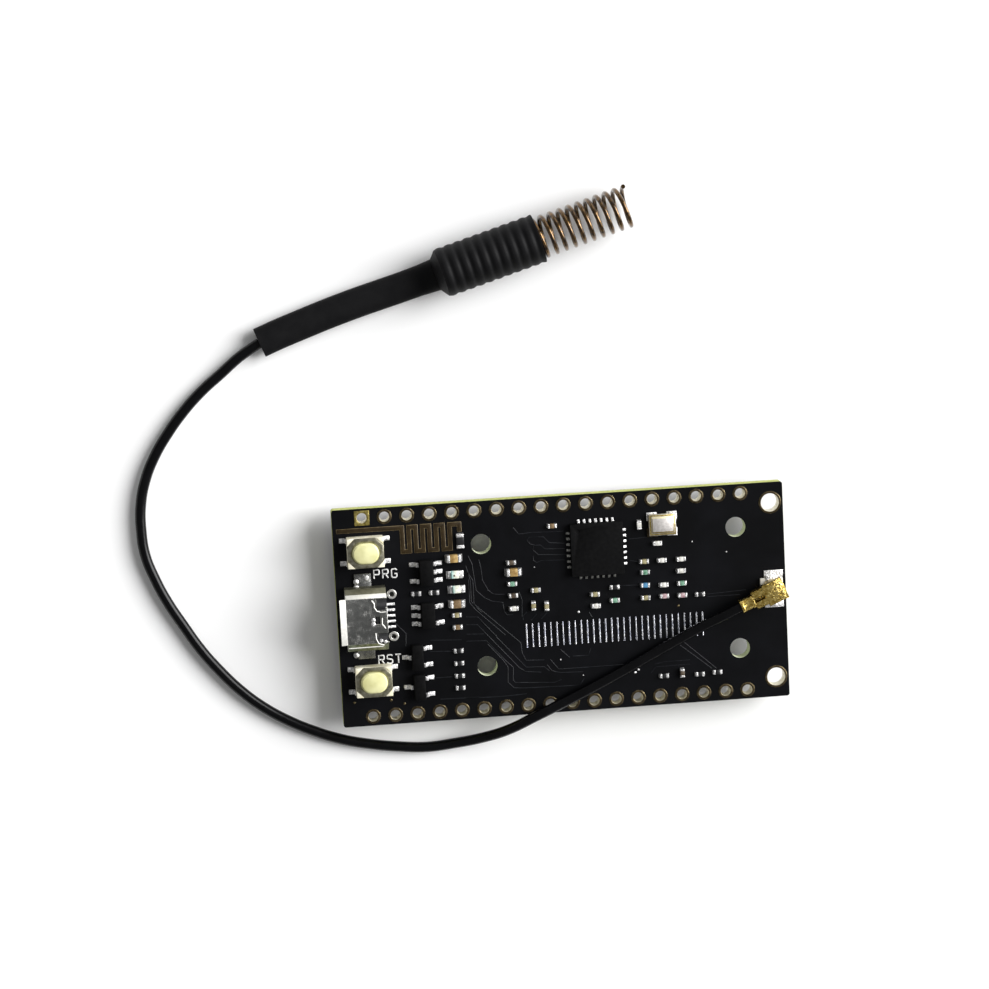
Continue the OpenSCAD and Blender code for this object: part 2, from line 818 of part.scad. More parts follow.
module crystal_lid() {
    lid_inset = 0.25;
    color("#cfd0c8")
        on_top(crystal_at)
            centred_box(crystal_l - 2 * lid_inset, crystal_w - 2 * lid_inset, crystal_h * 0.25, crystal_h * 0.75);
}

sot_w = 1.6;
sot_low = 0.08;
sot_pitch = 0.95;
sot_leg_w = 0.5;
sot_leg_t = 0.13;
sot_reach = 0.62;
sot_foot = 0.3;
sot_toe = 0.42;
sot_narrow_w = 1.35;

module sot_body(place, w = sot_w) {
    color("#222224")
        on_top(place)
            chip_body(w, sot_l, sot_low, sot_h);
}

// Legs of a small chip: the rows give how many pitches each leg is from the middle
module sot_legs(place, left_row, right_row, w = sot_w) {
    color("silver")
        on_top(place)
            for (side = [0, 1])
                for (step = side == 0 ? right_row : left_row)
                    translate([0, step * sot_pitch, 0])
                        mirror([side, 0, 0])
                            translate([w / 2 + seat, 0, 0])
                                gull_leg(sot_reach, (sot_low + sot_h) / 2, sot_foot, sot_leg_w, sot_leg_t, sot_toe);
}

module charger_chip() {
    sot_body(charger_at);
}

module charger_leads() {
    sot_legs(charger_at, [-1, 1], [-1, 0, 1]);
}

module regulator_chip() {
    sot_body(regulator_at);
}

module regulator_leads() {
    sot_legs(regulator_at, [-1, 0, 1], [-1, 1]);
}

module transistor_bodies() {
    for (place = transistor_places)
        sot_body(place, sot_narrow_w);
}

module transistor_leads() {
    for (place = transistor_places)
        sot_legs(place, [0], [-1, 1], sot_narrow_w);
}

module lamp_bodies() {
    color("#f4f2e6")
        for (place = lamp_places)
            on_top(place, place[2])
                union() {
                    centred_box(big_l - 2 * big_cap, big_w, lamp_h * 0.5);
                    centred_box(big_l - 2 * big_cap - 0.1, big_w - 0.1, lamp_h * 0.5, lamp_h * 0.5);
                }
}

module lamp_ends() {
    color("silver")
        for (place = lamp_places)
            on_top(place, place[2])
                small_ends(big_l, big_w, lamp_h * 0.5, big_cap, big_reach);
}

module capacitor_bodies() {
    color("#b08d62") {
        for (place = big_cap_places)
            on_top(place, place[2])
                small_body(big_l, big_w, big_cap_h, big_cap);
        for (place = cap_places)
            on_top(place, place[2])
                small_body(small_l, small_w, cap_h, small_cap);
    }
}

module capacitor_ends() {
    color("silver") {
        for (place = big_cap_places)
            on_top(place, place[2])
                small_ends(big_l, big_w, big_cap_h, big_cap, big_reach);
        for (place = cap_places)
            on_top(place, place[2])
                small_ends(small_l, small_w, cap_h, small_cap, small_reach);
    }
}

module resistor_bodies() {
    color("#1b1b1d") {
        for (place = big_resistor_places)
            on_top(place, place[2])
                small_body(big_l, big_w, res_h, big_cap);
        for (place = resistor_places)
            on_top(place, place[2])
                small_body(small_l, small_w, res_h, small_cap);
    }
}

module resistor_ends() {
    color("silver") {
        for (place = big_resistor_places)
            on_top(place, place[2])
                small_ends(big_l, big_w, res_h, big_cap, small_reach);
        for (place = resistor_places)
            on_top(place, place[2])
                small_ends(small_l, small_w, res_h, small_cap, small_reach);
    }
}

module inductor_bodies() {
    color("#5f8f86")
        for (place = inductor_places)
            on_top(place, place[2])
                small_body(small_l, small_w, cap_h, small_cap);
}

module inductor_ends() {
    color("silver")
        for (place = inductor_places)
            on_top(place, place[2])
                small_ends(small_l, small_w, cap_h, small_cap, small_reach);
}

socket_base_h = 0.35;
socket_ring_wall = 0.18;
ground_l = 2.2;
ground_out = 0.85;
ground_shift = 0.28;
pin_d = 0.5;

module socket_base() {
    color("#efe9d8")
        on_top(socket_at)
            difference() {
                centred_box(socket_w, socket_w, socket_base_h);
                translate([0, 0, -1])
                    cylinder(d = pin_d + 2 * seat, h = 3);
            }
}

// Ring of the aerial socket, on two soldered feet
module socket_shell() {
    color("#e3dfd2")
        on_top(socket_at)
            union() {
                translate([0, 0, socket_base_h])
                    difference() {
                        cylinder(d = socket_d, h = socket_h - socket_base_h);
                        translate([0, 0, 0.1])
                            cylinder(d = socket_d - 2 * socket_ring_wall, h = 2);
                        translate([0, 0, -1])
                            cylinder(d = 0.9, h = 3);
                    }
                for (side = [-1, 1])
                    translate([0, side * (socket_w / 2 + ground_out / 2 + seat), 0])
                        union() {
                            translate([ground_shift, 0, 0])
                                centred_box(ground_l, ground_out, 0.12);
                            translate([0, -side * (ground_out / 2 - 0.1), 0])
                                centred_box(ground_l * 0.6, 0.2, socket_base_h + 0.1);
                            translate([0, -side * (ground_out / 2 + 0.2), socket_base_h])
                                centred_box(ground_l * 0.6, 1, 0.1);
                        }
            }
}

module socket_pin() {
    color("#d9b64a")
        on_top(socket_at)
            cylinder(d = pin_d, h = socket_h - 0.15);
}

// Places a shape at the aerial plug, with X along the lead
module at_socket() {
    translate([socket_at.x, socket_at.y, top_z])
        rotate([0, 0, lead_turn])
            children();
}

cup_low = 0.62;
cup_in = socket_d / 2 + 0.04;
roof_t = 0.25;
channel_d = 1.25;
collar_low = 0.75;
plate_low = 1.45;
wing_slope = 0.3;

// Cup that snaps over the socket, under a folded plate, with two wings wrapped round the braid
module plug_shell() {
    color("#c79a34")
        at_socket()
            union() {
                difference() {
                    union() {
                        translate([0, 0, cup_low])
                            cylinder(d = plug_d, h = plug_h - cup_low - 0.1);
                        translate([-plate_far, -plate_wide / 2, plate_low])
                            cube([plate_far + plate_near, plate_wide, plug_h - plate_low]);
                    }
                    translate([0, 0, cup_low - 1])
                        cylinder(r = cup_in, h = plug_h - cup_low - roof_t + 1);
                    for (turn = [60, -60, 180])
                        rotate([0, 0, turn])
                            translate([cup_in - 0.2, -0.12, cup_low - 1])
                                cube([1, 0.24, 1.7]);
                }
                difference() {
                    for (side = [0, 1])
                        mirror([0, side, 0])
                            collar_wing();
                    translate([collar_from - 1, 0, lead_z])
                        rotate([0, 90, 0])
                            cylinder(d = channel_d, h = collar_l + 2);
                }
            }
}

// Half of the collar: a wing that comes up one side of the lead and folds down beside its middle
module collar_wing() {
    top = plug_h - 0.05;
    translate([collar_from - 0.1, 0, 0])
        rotate([90, 0, 90])
            linear_extrude(height = collar_l + 0.1)
                polygon([
                    [0, collar_low], [collar_w / 2 - 0.1, collar_low], [collar_w / 2, collar_low + 0.15],
                    [collar_w / 2, top - wing_slope], [collar_w / 2 - 0.25, top], [0.3, top],
                    [0.06, top - 0.2], [0.06, lead_z], [0, lead_z]
                ]);
}

insulator_low = socket_h + 0.05;

module plug_insulator() {
    color("#e8e4d8")
        at_socket()
            difference() {
                translate([0, 0, insulator_low])
                    cylinder(r = cup_in - seat, h = plug_h - roof_t - seat - insulator_low);
                translate([0, 0, insulator_low - 1])
                    cylinder(d = 0.6 + 2 * seat, h = 3);
            }
}

// Spring contact over the socket's pin, inside the insulator
module plug_contact() {
    low = 0.6;
    color("#d9b64a")
        at_socket()
            difference() {
                translate([0, 0, low])
                    cylinder(d = pin_d + 0.24, h = socket_h - low);
                translate([0, 0, low - 1])
                    cylinder(d = pin_d + 2 * seat, h = 3);
            }
}

// Crimped barrel round the lead, with a rolled edge at each end
module plug_ferrule() {
    run = ferrule_to - collar_to - seat;
    inner = lead_d / 2 + 0.03;
    outer = ferrule_d / 2;
    bead = 0.09;
    color("#c79a34")
        at_socket()
            translate([collar_to + seat, 0, lead_z])
                rotate([0, 90, 0])
                    rotate_extrude()
                        polygon([
                            [inner, 0], [outer + bead, 0], [outer + bead, 0.25], [outer, 0.35],
                            [outer, run - 0.35], [outer + bead, run - 0.25], [outer + bead, run],
                            [inner, run]
                        ]);
}

// Lead swept along its route, from the collar to the sleeve
module aerial_lead() {
    route = concat([at_plug(collar_to), at_plug(ferrule_to)], lead_route, [tail_route[0]]);
    color("#0e0e10")
        skin([for (i = [0:len(route) - 1])
            ring(route[i], heading(route, i), lead_d / 2, lead_d / 2, lead_sides)]);
}

coil_way = [cos(coil_turn), sin(coil_turn), 0];
sleeve_end = sleeve_from + rib_run * coil_way;

// Half height of the sleeve along its ribs, in turns of the coil
function rib_half(turns) = sleeve_d / 2 - groove * (0.5 + 0.5 * cos(360 * turns));

// Shrunk sleeve: a flat tail over the lead, then ribs where it grips the coil's hidden turns
module aerial_sleeve() {
    tail_rings = [for (i = [0:len(tail_route) - 1])
        let (swell = max(0, tail_route[i].z - tail_t / 2) * 0.9)
        ring(tail_route[i], heading(tail_route, i), tail_w / 2 + swell * 0.5,
            tail_t / 2 + swell, sleeve_sides)];
    rib_rings = [for (k = [0:(ribs - 0.5) * rib_steps])
        let (turns = k / rib_steps)
        ring(sleeve_from + turns * coil_pitch * coil_way, coil_way,
            rib_half(turns), rib_half(turns), sleeve_sides)];
    color("#141416")
        difference() {
            skin(concat(tail_rings, rib_rings));
            translate(sleeve_end)
                rotate([0, 90, coil_turn])
                    translate([0, 0, -recess])
                        cylinder(d = coil_d + 2 * coil_gap, h = recess + 1);
        }
}

// Wire wound into an open coil, which starts in the recess at the sleeve's end
module aerial_coil() {
    steps = bare_turns * turn_steps;
    half = (coil_d - wire_d) / 2;
    start = wire_d / 2 + coil_gap - recess;
    side = [-sin(coil_turn), cos(coil_turn), 0];
    points = [for (i = [0:steps])
        let (turn = 360 * i / turn_steps)
        sleeve_end + (start + i * coil_pitch / turn_steps) * coil_way
            + half * cos(turn) * side + half * sin(turn) * [0, 0, 1]];
    color("#a8763a")
        skin([for (i = [0:steps])
            let (way = heading(points, i))
            let (out = unit(points[i] - sleeve_end - ((points[i] - sleeve_end) * coil_way) * coil_way))
            let (over = unit(cross(way, out)))
            [for (k = [0:wire_sides - 1])
                points[i] + wire_d / 2 * (cos(360 * k / wire_sides) * over
                    + sin(360 * k / wire_sides) * cross(over, way) * -1)]]);
}

module processor_chip() {
    color("#1d1d1f")
        under_board(processor_at)
            centred_box(processor_w, processor_w, flat_chip_h - copper_t, copper_t);
}

module processor_pads() {
    color("silver")
        under_board(processor_at)
            union() {
                side_lands(processor_w + 2 * seat, 12, 0.4, 0.2, 0.35, 0.12);
                centred_box(4.4, 4.4, copper_t - 0.01);
            }
}

memory_pitch = 1.27;

module memory_chip() {
    color("#1d1d1f")
        under_board(memory_at)
            chip_body(flash_w, flash_w, 0.1, rest_h);
}

module memory_leads() {
    color("silver")
        under_board(memory_at)
            for (side = [0, 1])
                for (i = [0:3])
                    translate([0, (i - 1.5) * memory_pitch, 0])
                        mirror([side, 0, 0])
                            translate([flash_w / 2 + seat, 0, 0])
                                gull_leg(1.3, rest_h / 2, 0.6, 0.42, 0.2, 0.3);
}

module serial_chip() {
    color("#1d1d1f")
        under_board(serial_at)
            centred_box(serial_w, serial_w, flat_chip_h - copper_t, copper_t);
}

module serial_pads() {
    color("silver")
        under_board(serial_at)
            union() {
                side_lands(serial_w + 2 * seat, 7, 0.5, 0.25, 0.35, 0.12);
                centred_box(3.2, 3.2, copper_t - 0.01);
            }
}

module processor_crystal() {
    color("#cfd0c8")
        under_board(processor_crystal_at)
            union() {
                centred_box(crystal_l, crystal_w, crystal_h * 0.7);
                centred_box(crystal_l - 0.5, crystal_w - 0.5, crystal_h * 0.3, crystal_h * 0.7);
            }
}

// Low battery socket with its mouth towards the board's end
module battery_socket() {
    mouth_w = battery_w - 2 * battery_wall;
    mouth_h = rest_h - 2 * battery_wall * 0.6;
    mouth_l = battery_l - 1;
    color("#f1efe8")
        under_board(battery_at)
            difference() {
                centred_box(battery_l, battery_w, rest_h);
                translate([-battery_l / 2 - 1, -mouth_w / 2, battery_wall * 0.6])
                    cube([mouth_l + 1, mouth_w, mouth_h]);
                translate([-battery_l / 2 - 1, -mouth_w / 4, -1])
                    cube([1.8, mouth_w / 2, rest_h + 2]);
            }
}

// Two contact pins of the battery socket, and the feet that it is soldered by
module battery_pins() {
    pin_w = 0.4;
    pin_gap = 1.25;
    color("silver")
        under_board(battery_at)
            for (side = [-1, 1]) {
                translate([-0.9, side * pin_gap / 2 - pin_w / 2, rest_h / 2 - pin_w / 2])
                    cube([battery_l / 2 - 0.1 - seat, pin_w, pin_w]);
                translate([battery_l / 2 + seat, side * pin_gap / 2 - pin_w / 2, 0])
                    cube([0.8, pin_w, 0.2]);
                translate([-battery_l / 2 + 0.6, side * (battery_w / 2 + 0.35 + seat), 0])
                    centred_box(1.2, 0.7, 0.2);
            }
}

bulk_l = 3.5;
bulk_w = 2.8;

module bulk_capacitor() {
    color("#c8902a")
        under_board(bulk_at)
            chip_body(bulk_l - 0.5, bulk_w, 0.15, rest_h);
}

module bulk_capacitor_ends() {
    color("silver")
        under_board(bulk_at)
            for (side = [0, 1])
                mirror([side, 0, 0])
                    translate([bulk_l / 2 - 0.25 + seat, 0, 0])
                        union() {
                            centred_box(0.01 + 0.4, 2.2, 0.13);
                            translate([0.14, 0, 0])
                                centred_box(0.13, 2.2, rest_h * 0.6);
                        }
}

module lower_passives() {
    color("#b08d62")
        for (place = lower_places)
            under_board(place, place[2])
                small_body(small_l, small_w, cap_h, small_cap);
}

module lower_passive_ends() {
    color("silver")
        for (place = lower_places)
            under_board(place, place[2])
                small_ends(small_l, small_w, cap_h, small_cap, small_reach);
}

board();
header_eyelets();
fixing_eyelets();
display_pads();
printed_aerial();
usb_shell();
usb_tongue();
usb_contacts();
switch_base(prg_at);  // prg_base
switch_cover(prg_at);  // prg_cover
switch_terminals(prg_at);  // prg_terminals
switch_dome(prg_at);  // prg_dome
switch_button(prg_at);  // prg_button
switch_base(rst_at);  // rst_base
switch_cover(rst_at);  // rst_cover
switch_terminals(rst_at);  // rst_terminals
switch_dome(rst_at);  // rst_dome
switch_button(rst_at);  // rst_button
radio_chip();
radio_chip_pads();
crystal_base();
crystal_lid();
charger_chip();
charger_leads();
regulator_chip();
regulator_leads();
transistor_bodies();
transistor_leads();
lamp_bodies();
lamp_ends();
capacitor_bodies();
capacitor_ends();
resistor_bodies();
resistor_ends();
inductor_bodies();
inductor_ends();
socket_base();
socket_shell();
socket_pin();
processor_chip();
processor_pads();
memory_chip();
memory_leads();
serial_chip();
serial_pads();
processor_crystal();
battery_socket();
battery_pins();
bulk_capacitor();
bulk_capacitor_ends();
lower_passives();
lower_passive_ends();
plug_shell();
plug_insulator();
plug_contact();
plug_ferrule();
aerial_lead();
aerial_sleeve();
aerial_coil();
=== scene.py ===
# %% [markdown]
# A radio board and its coil aerial.
# This lesson dresses a small circuit board: black solder mask, plated holes, tinned joints, a
# folded steel socket, two push buttons, a gold aerial plug, a thin black lead, a shrunk sleeve and
# a coil of bronze wire. The solids come from the frame, and this script gives them their looks.

# %% Load the solids
import json
import math

import bmesh
import bpy
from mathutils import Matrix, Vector

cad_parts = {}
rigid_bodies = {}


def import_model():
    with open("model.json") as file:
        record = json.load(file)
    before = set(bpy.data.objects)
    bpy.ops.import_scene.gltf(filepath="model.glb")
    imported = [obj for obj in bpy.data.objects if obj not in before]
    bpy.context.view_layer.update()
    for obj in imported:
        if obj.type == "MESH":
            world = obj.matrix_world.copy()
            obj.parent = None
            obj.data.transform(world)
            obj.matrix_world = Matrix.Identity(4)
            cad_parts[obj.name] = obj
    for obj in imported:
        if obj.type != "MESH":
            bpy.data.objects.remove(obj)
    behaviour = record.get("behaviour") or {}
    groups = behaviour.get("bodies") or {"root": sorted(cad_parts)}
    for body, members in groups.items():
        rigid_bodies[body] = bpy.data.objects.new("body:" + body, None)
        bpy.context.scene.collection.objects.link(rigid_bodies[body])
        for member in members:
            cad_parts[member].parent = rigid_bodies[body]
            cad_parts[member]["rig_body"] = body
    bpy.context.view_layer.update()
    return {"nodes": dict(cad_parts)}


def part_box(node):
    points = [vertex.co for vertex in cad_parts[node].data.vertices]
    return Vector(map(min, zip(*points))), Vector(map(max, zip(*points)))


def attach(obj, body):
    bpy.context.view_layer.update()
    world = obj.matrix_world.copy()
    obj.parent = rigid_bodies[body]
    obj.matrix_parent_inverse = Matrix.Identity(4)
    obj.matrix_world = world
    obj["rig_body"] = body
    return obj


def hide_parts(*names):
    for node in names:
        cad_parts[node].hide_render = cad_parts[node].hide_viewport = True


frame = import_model()

MM = 0.001
scene = bpy.context.scene
scene.view_settings.view_transform = "Standard"
BOARD = "circuit_board"
board_low, board_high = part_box("board")
TOP = board_high.z
UNDER = board_low.z
print("board", [round(v / MM, 2) for v in (*board_low, *board_high)])

# %% [markdown]
# The camera stands almost over the board, leaning in from its left end and far side. A long lens
# keeps the board's edges nearly parallel, as in the photograph.

# %% Camera
EYE = Vector((-35.36, 58.69, 309.16)) * MM
EYE_TURN = [math.radians(a) for a in (-8.164, -5.693, -2.951)]
camera_data = bpy.data.cameras.new("camera")
camera_data.lens = 100
camera_data.sensor_width = 36
camera_data.clip_start = 0.01
camera_data.clip_end = 10
camera = bpy.data.objects.new("camera", camera_data)
camera.location = EYE
camera.rotation_euler = EYE_TURN
scene.collection.objects.link(camera)
scene.camera = camera
print("camera height", round(EYE.z, 3))

# %% [markdown]
# The lead is a thin coaxial cable. It leaves the folded plug, runs over the board, drops off its
# edge and lies on the table in one open curve. The route repeats the points of the solid, and a
# smooth spline through them gives the even bend that a stiff little cable takes.

# %% Route of the lead
LEAD_D = 1.2 * MM
PLUG_AT = Vector((24.05, 0.15, 5.1)) * MM
LEAD_TURN = math.radians(202.5)
LEAD_WAY = Vector((math.cos(LEAD_TURN), math.sin(LEAD_TURN), 0))
COLLAR_END = 2.55 * MM
FERRULE_END = 4.2 * MM
lead_route = [
    (18.05, -2.4, 5.0), (15.9, -3.35, 4.8), (13.2, -4.7, 4.5), (10.8, -5.9, 4.3), (8.4, -7.1, 4.25),
    (5.5, -8.5, 4.25), (2.5, -9.9, 4.25), (-0.7, -11.3, 4.25), (-3.9, -12.65, 4.3),
    (-7, -14.3, 2.9), (-10, -15.35, 1.5), (-13, -15.9, 0.75), (-16.2, -16.15, 0.61),
    (-19.5, -15.85, 0.61), (-22.8, -15.3, 0.61), (-26, -14.5, 0.61), (-29, -13.35, 0.61),
    (-31.9, -11.9, 0.61), (-34.6, -10.15, 0.61), (-37.1, -8, 0.61), (-39.4, -5.45, 0.61),
    (-41.4, -2.8, 0.61), (-43.1, 0, 0.61), (-44.7, 2.8, 0.61), (-45.95, 5.6, 0.61),
    (-46.85, 8.4, 0.61), (-47.1, 11.3, 0.61), (-46.95, 14.1, 0.61), (-46.25, 16.9, 0.61),
    (-45.05, 19.5, 0.61), (-43.4, 22, 0.61), (-41.5, 24.35, 0.61), (-39.35, 26.5, 0.61),
    (-37, 28.4, 0.64), (-34.9, 30.1, 0.75), (-32.5, 31.6, 0.95),
]


def link(name, data):
    """A new object at the origin, in the scene."""
    piece = bpy.data.objects.new(name, data)
    scene.collection.objects.link(piece)
    return piece


def spline_tube(name, points, radius):
    """A smooth round tube through points in metres, as a curve; its knots carry the radius."""
    curve = bpy.data.curves.new(name, "CURVE")
    curve.dimensions = "3D"
    curve.resolution_u = 6
    curve.bevel_depth = 1
    curve.bevel_resolution = 6
    curve.use_fill_caps = True
    spline = curve.splines.new("BEZIER")
    spline.bezier_points.add(len(points) - 1)
    for knot, point in zip(spline.bezier_points, points):
        knot.co = point
        knot.handle_left_type = knot.handle_right_type = "AUTO"
        knot.radius = radius
    return link(name, curve)


lead_points = [PLUG_AT + LEAD_WAY * COLLAR_END, PLUG_AT + LEAD_WAY * FERRULE_END]
lead_points += [Vector(p) * MM for p in lead_route]
lead = spline_tube("aerial_lead_jacket", lead_points, LEAD_D / 2)
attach(lead, BOARD)
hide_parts("aerial_lead")
print("lead points", len(lead_points))

# %% [markdown]
# Node trees are easier to read as sums than as boxes. One class wraps a socket, so that adding or
# multiplying two of them makes the Math nodes. The same class serves finishes and shapes.

# %% Node arithmetic
class Value:
    """A number, colour or shape that comes out of a node."""

    def __init__(self, tree, socket):
        self.tree = tree
        self.socket = socket

    def math(self, operation, *terms):
        return self.tree.node("ShaderNodeMath", {"operation": operation}, dict(enumerate(terms)))

    def __add__(self, other):
        return self.math("ADD", self, other)

    __radd__ = __add__

    def __sub__(self, other):
        return self.math("SUBTRACT", self, other)

    def __rsub__(self, other):
        return self.math("SUBTRACT", other, self)

    def __mul__(self, other):
        return self.math("MULTIPLY", self, other)

    __rmul__ = __mul__

    def __truediv__(self, other):
        return self.math("DIVIDE", self, other)

    def __abs__(self):
        return self.math("ABSOLUTE", self)

    def above(self, edge):
        """1 where this is more than edge, and 0 elsewhere."""
        return self.math("GREATER_THAN", self, edge)

    def spread(self, low, high):
        """0 at low and 1 at high, straight between them and held outside them."""
        return self.tree.node("ShaderNodeMapRange", {"clamp": True}, {0: self, 1: low, 2: high})


class Tree:
    """A node tree with one way to add a node."""

    def __init__(self, tree):
        self.tree = tree

    def node(self, kind, settings=None, inputs=None, output=0):
        """A new node; settings are set first, then inputs take values or links."""
        node = self.tree.nodes.new(kind)
        for key, value in (settings or {}).items():
            setattr(node, key, value)
        for key, value in (inputs or {}).items():
            self.feed(node.inputs[key], value)
        return Value(self, node.outputs[output])

    def feed(self, socket, value):
        if isinstance(value, Value):
            self.tree.links.new(value.socket, socket)
        elif isinstance(value, tuple) and len(value) == 3 and socket.type == "RGBA":
            socket.default_value = (*value, 1)
        else:
            socket.default_value = value


print("node arithmetic ready")

# %% [markdown]
# A finish is a material whose tree ends in one Principled shader. It can ask where a point lies on
# the piece, make grain of a given size, mix two colours by a mask, and raise a relief.

# %% Finishes
class Finish(Tree):
    """One material, with a Principled shader at its end."""

    def __init__(self, name, color=(0.8, 0.8, 0.8), **settings):
        self.material = bpy.data.materials.new(name)
        self.material.use_nodes = True
        super().__init__(self.material.node_tree)
        self.shader = self.tree.nodes["Principled BSDF"]
        self.set(base_color=color, **settings)
        self.material.diffuse_color = (*color, 1)

    def set(self, **settings):
        """Sets sockets of the shader, named in lower case with underscores."""
        for key, value in settings.items():
            self.feed(self.shader.inputs[key.replace("_", " ").title().replace("Ior", "IOR")], value)
        return self

    def place(self, axis=None):
        """The point on the piece in metres, or one part of it."""
        point = self.node("ShaderNodeTexCoord", output=3)
        if axis is None:
            return point
        return self.node("ShaderNodeSeparateXYZ", None, {0: point}, "XYZ".index(axis))

    def away(self, x, y):
        """Distance in millimetres from an upright line at x and y."""
        across = self.place("X") / MM - x
        along = self.place("Y") / MM - y
        squared = across * across + along * along
        return squared.math("SQRT", squared)

    def grain(self, size, detail=3, stretch=1, turn=0):
        """Smooth noise whose lumps are about size metres across, or longer along one direction."""
        point = self.node("ShaderNodeMapping", None, {
            "Vector": self.place(), "Rotation": (0, 0, turn), "Scale": (1, 1 / stretch, 1),
        })
        return self.node("ShaderNodeTexNoise", None, {
            "Vector": point, "Scale": 1 / size, "Detail": detail, "Roughness": 0.55,
        })

    def mix(self, mask, first, second):
        """First colour where mask is 0, second where it is 1."""
        return self.node("ShaderNodeMix", {"data_type": "RGBA"}, {0: mask, 6: first, 7: second}, 2)

    def bump(self, height, depth, strength=1.0):
        """Surface relief from a height of 0 to 1, depth metres deep."""
        self.feed(self.shader.inputs["Normal"], self.node("ShaderNodeBump", None, {
            "Strength": strength, "Distance": depth, "Height": height,
        }))
        return self


def toned(name, dark, light, size, rough, relief=0.004, **settings):
    """A finish that drifts between two colours, with a fine relief."""
    middle = tuple((a + b) / 2 for a, b in zip(dark, light))
    finish = Finish(name, color=middle, **settings)
    drift = finish.grain(size)
    finish.set(base_color=finish.mix(drift.spread(0.3, 0.7), dark, light))
    finish.set(roughness=rough + 0.12 * finish.grain(size / 5, 2))
    return finish.bump(drift, relief * MM, 0.5)


# %% [markdown]
# The board is glass laminate, yellow green where it is cut, under a glossy black mask. Its edge
# and its faces are one solid, so the finish chooses by height: the mask is only on the two faces.
# The walls of the holes are painted paler than the outer edge, painted light on walls in shade.

# %% Board finish
def solder_mask_finish():
    finish = Finish("solder_mask", (0.003, 0.003, 0.004), specular_ior_level=0.1)
    height = finish.place("Z")
    skin = 0.03 * MM
    masked = height.above(TOP - skin) + (1 - height.above(UNDER + skin))
    cloud = finish.grain(5 * MM, 4).spread(0.35, 0.7)
    black = finish.mix(cloud, (0.0016, 0.0017, 0.0022), (0.0034, 0.0036, 0.0048))
    weave = finish.grain(0.25 * MM, 4, 8)
    laminate = finish.mix(weave.spread(0.3, 0.7), (0.30, 0.34, 0.08), (0.58, 0.60, 0.24))
    # Away from the outer edge the cut is a pale grey green: painted light on the hole walls, which lie in
    # shade.
    half_l, half_w = board_high.x - 0.35 * MM, board_high.y - 0.4 * MM
    inside = abs(finish.place("Y")).spread(half_w, half_w - 0.1 * MM)
    inside = inside * abs(finish.place("X")).spread(half_l, half_l - 0.1 * MM)
    cut = finish.mix(inside, laminate, (0.66, 0.70, 0.52))
    finish.set(base_color=finish.mix(masked, cut, black))
    finish.set(roughness=0.8 - 0.42 * masked + 0.1 * finish.grain(1.2 * MM))
    return finish.bump(finish.grain(0.35 * MM, 2), 0.004 * MM, 0.4)


solder_mask = solder_mask_finish()
print("board finish", solder_mask.material.name)

# %% [markdown]
# Bare metal shows in several ways here: bright lumpy solder, thin gold plating, scratched sheet
# steel and bronze wire. Metal takes its look from what it reflects, so each finish sets how much
# the surface bends and blurs that reflection, and only then its colour.

# %% Metal finishes
def metal(name, dark, light, size, rough, depth, **settings):
    """A metal that drifts between two colours and is uneven at the same size."""
    finish = Finish(name, color=light, metallic=1.0, **settings)
    lumps = finish.grain(size)
    finish.set(base_color=finish.mix(lumps.spread(0.32, 0.68), dark, light))
    finish.set(roughness=rough + 0.2 * finish.grain(size / 2, 2))
    return finish.bump(lumps, depth * MM, 0.8)


solder = metal("solder", (0.32, 0.32, 0.33), (1.0, 0.99, 0.97), 0.2 * MM, 0.36, 0.13)
# Dark tin for the socket's anchor rings, also used as painted shade on the radio chip's left and near
# pads.
dark_tin = metal("dark_tin", (0.04, 0.04, 0.04), (0.5, 0.5, 0.47), 0.2 * MM, 0.35, 0.1)
# Near-white steel for the socket's lip and rolled edges, a painted highlight where they catch the light.
lip_steel = metal("lip_steel", (0.9, 0.89, 0.84), (1.0, 0.99, 0.95), 0.4 * MM, 0.5, 0.02)
bead_tin = metal("bead_tin", (0.42, 0.44, 0.54), (0.98, 0.98, 1.0), 0.5 * MM, 0.16, 0.03)
# Near-white metal for bevels: a painted highlight along edges that catch the light.
bright_edge = metal("bright_edge", (0.8, 0.79, 0.74), (0.98, 0.97, 0.93), 0.3 * MM, 0.25, 0.02)
# Dark plating for the eyelets' tops, also used as painted shade on the crystal's unlit feet.
dark_plating = metal("dark_plating", (0.035, 0.026, 0.014), (0.11, 0.085, 0.05), 0.5 * MM, 0.35, 0.01)
rim_plating = metal("rim_plating", (0.04, 0.03, 0.016), (0.32, 0.26, 0.14), 0.4 * MM, 0.16, 0.02)
# Pale plating for the linings of the holes, painted lighter as painted light inside them.
barrel_plating = metal("barrel_plating", (0.72, 0.68, 0.52), (0.95, 0.93, 0.85), 0.3 * MM, 0.5, 0.01)
olive_plating = metal("olive_plating", (0.20, 0.15, 0.03), (0.55, 0.46, 0.16), 0.3 * MM, 0.3, 0.02)
stamped_gold = metal("stamped_gold", (0.42, 0.26, 0.03), (0.95, 0.74, 0.26), 0.3 * MM, 0.14, 0.12)
cover_sheet = metal("cover_sheet", (0.2, 0.19, 0.13), (0.46, 0.44, 0.34), 0.5 * MM, 0.26, 0.02)
gold_rim = metal("gold_rim", (0.40, 0.27, 0.05), (0.88, 0.72, 0.32), 0.35 * MM, 0.22, 0.03)
bronze = metal(
    "bronze_wire", (0.02, 0.008, 0.002), (0.19, 0.10, 0.022), 0.4 * MM, 0.1, 0.02,
    coat_weight=0.8, coat_roughness=0.05,
)
# Greenish dark steel for faces turned to the near side: painted shade on the shell.
green_steel = metal("green_steel", (0.14, 0.16, 0.10), (0.36, 0.38, 0.27), 0.4 * MM, 0.3, 0.02)
print("metals", sum(m.name != "solder_mask" for m in bpy.data.materials))

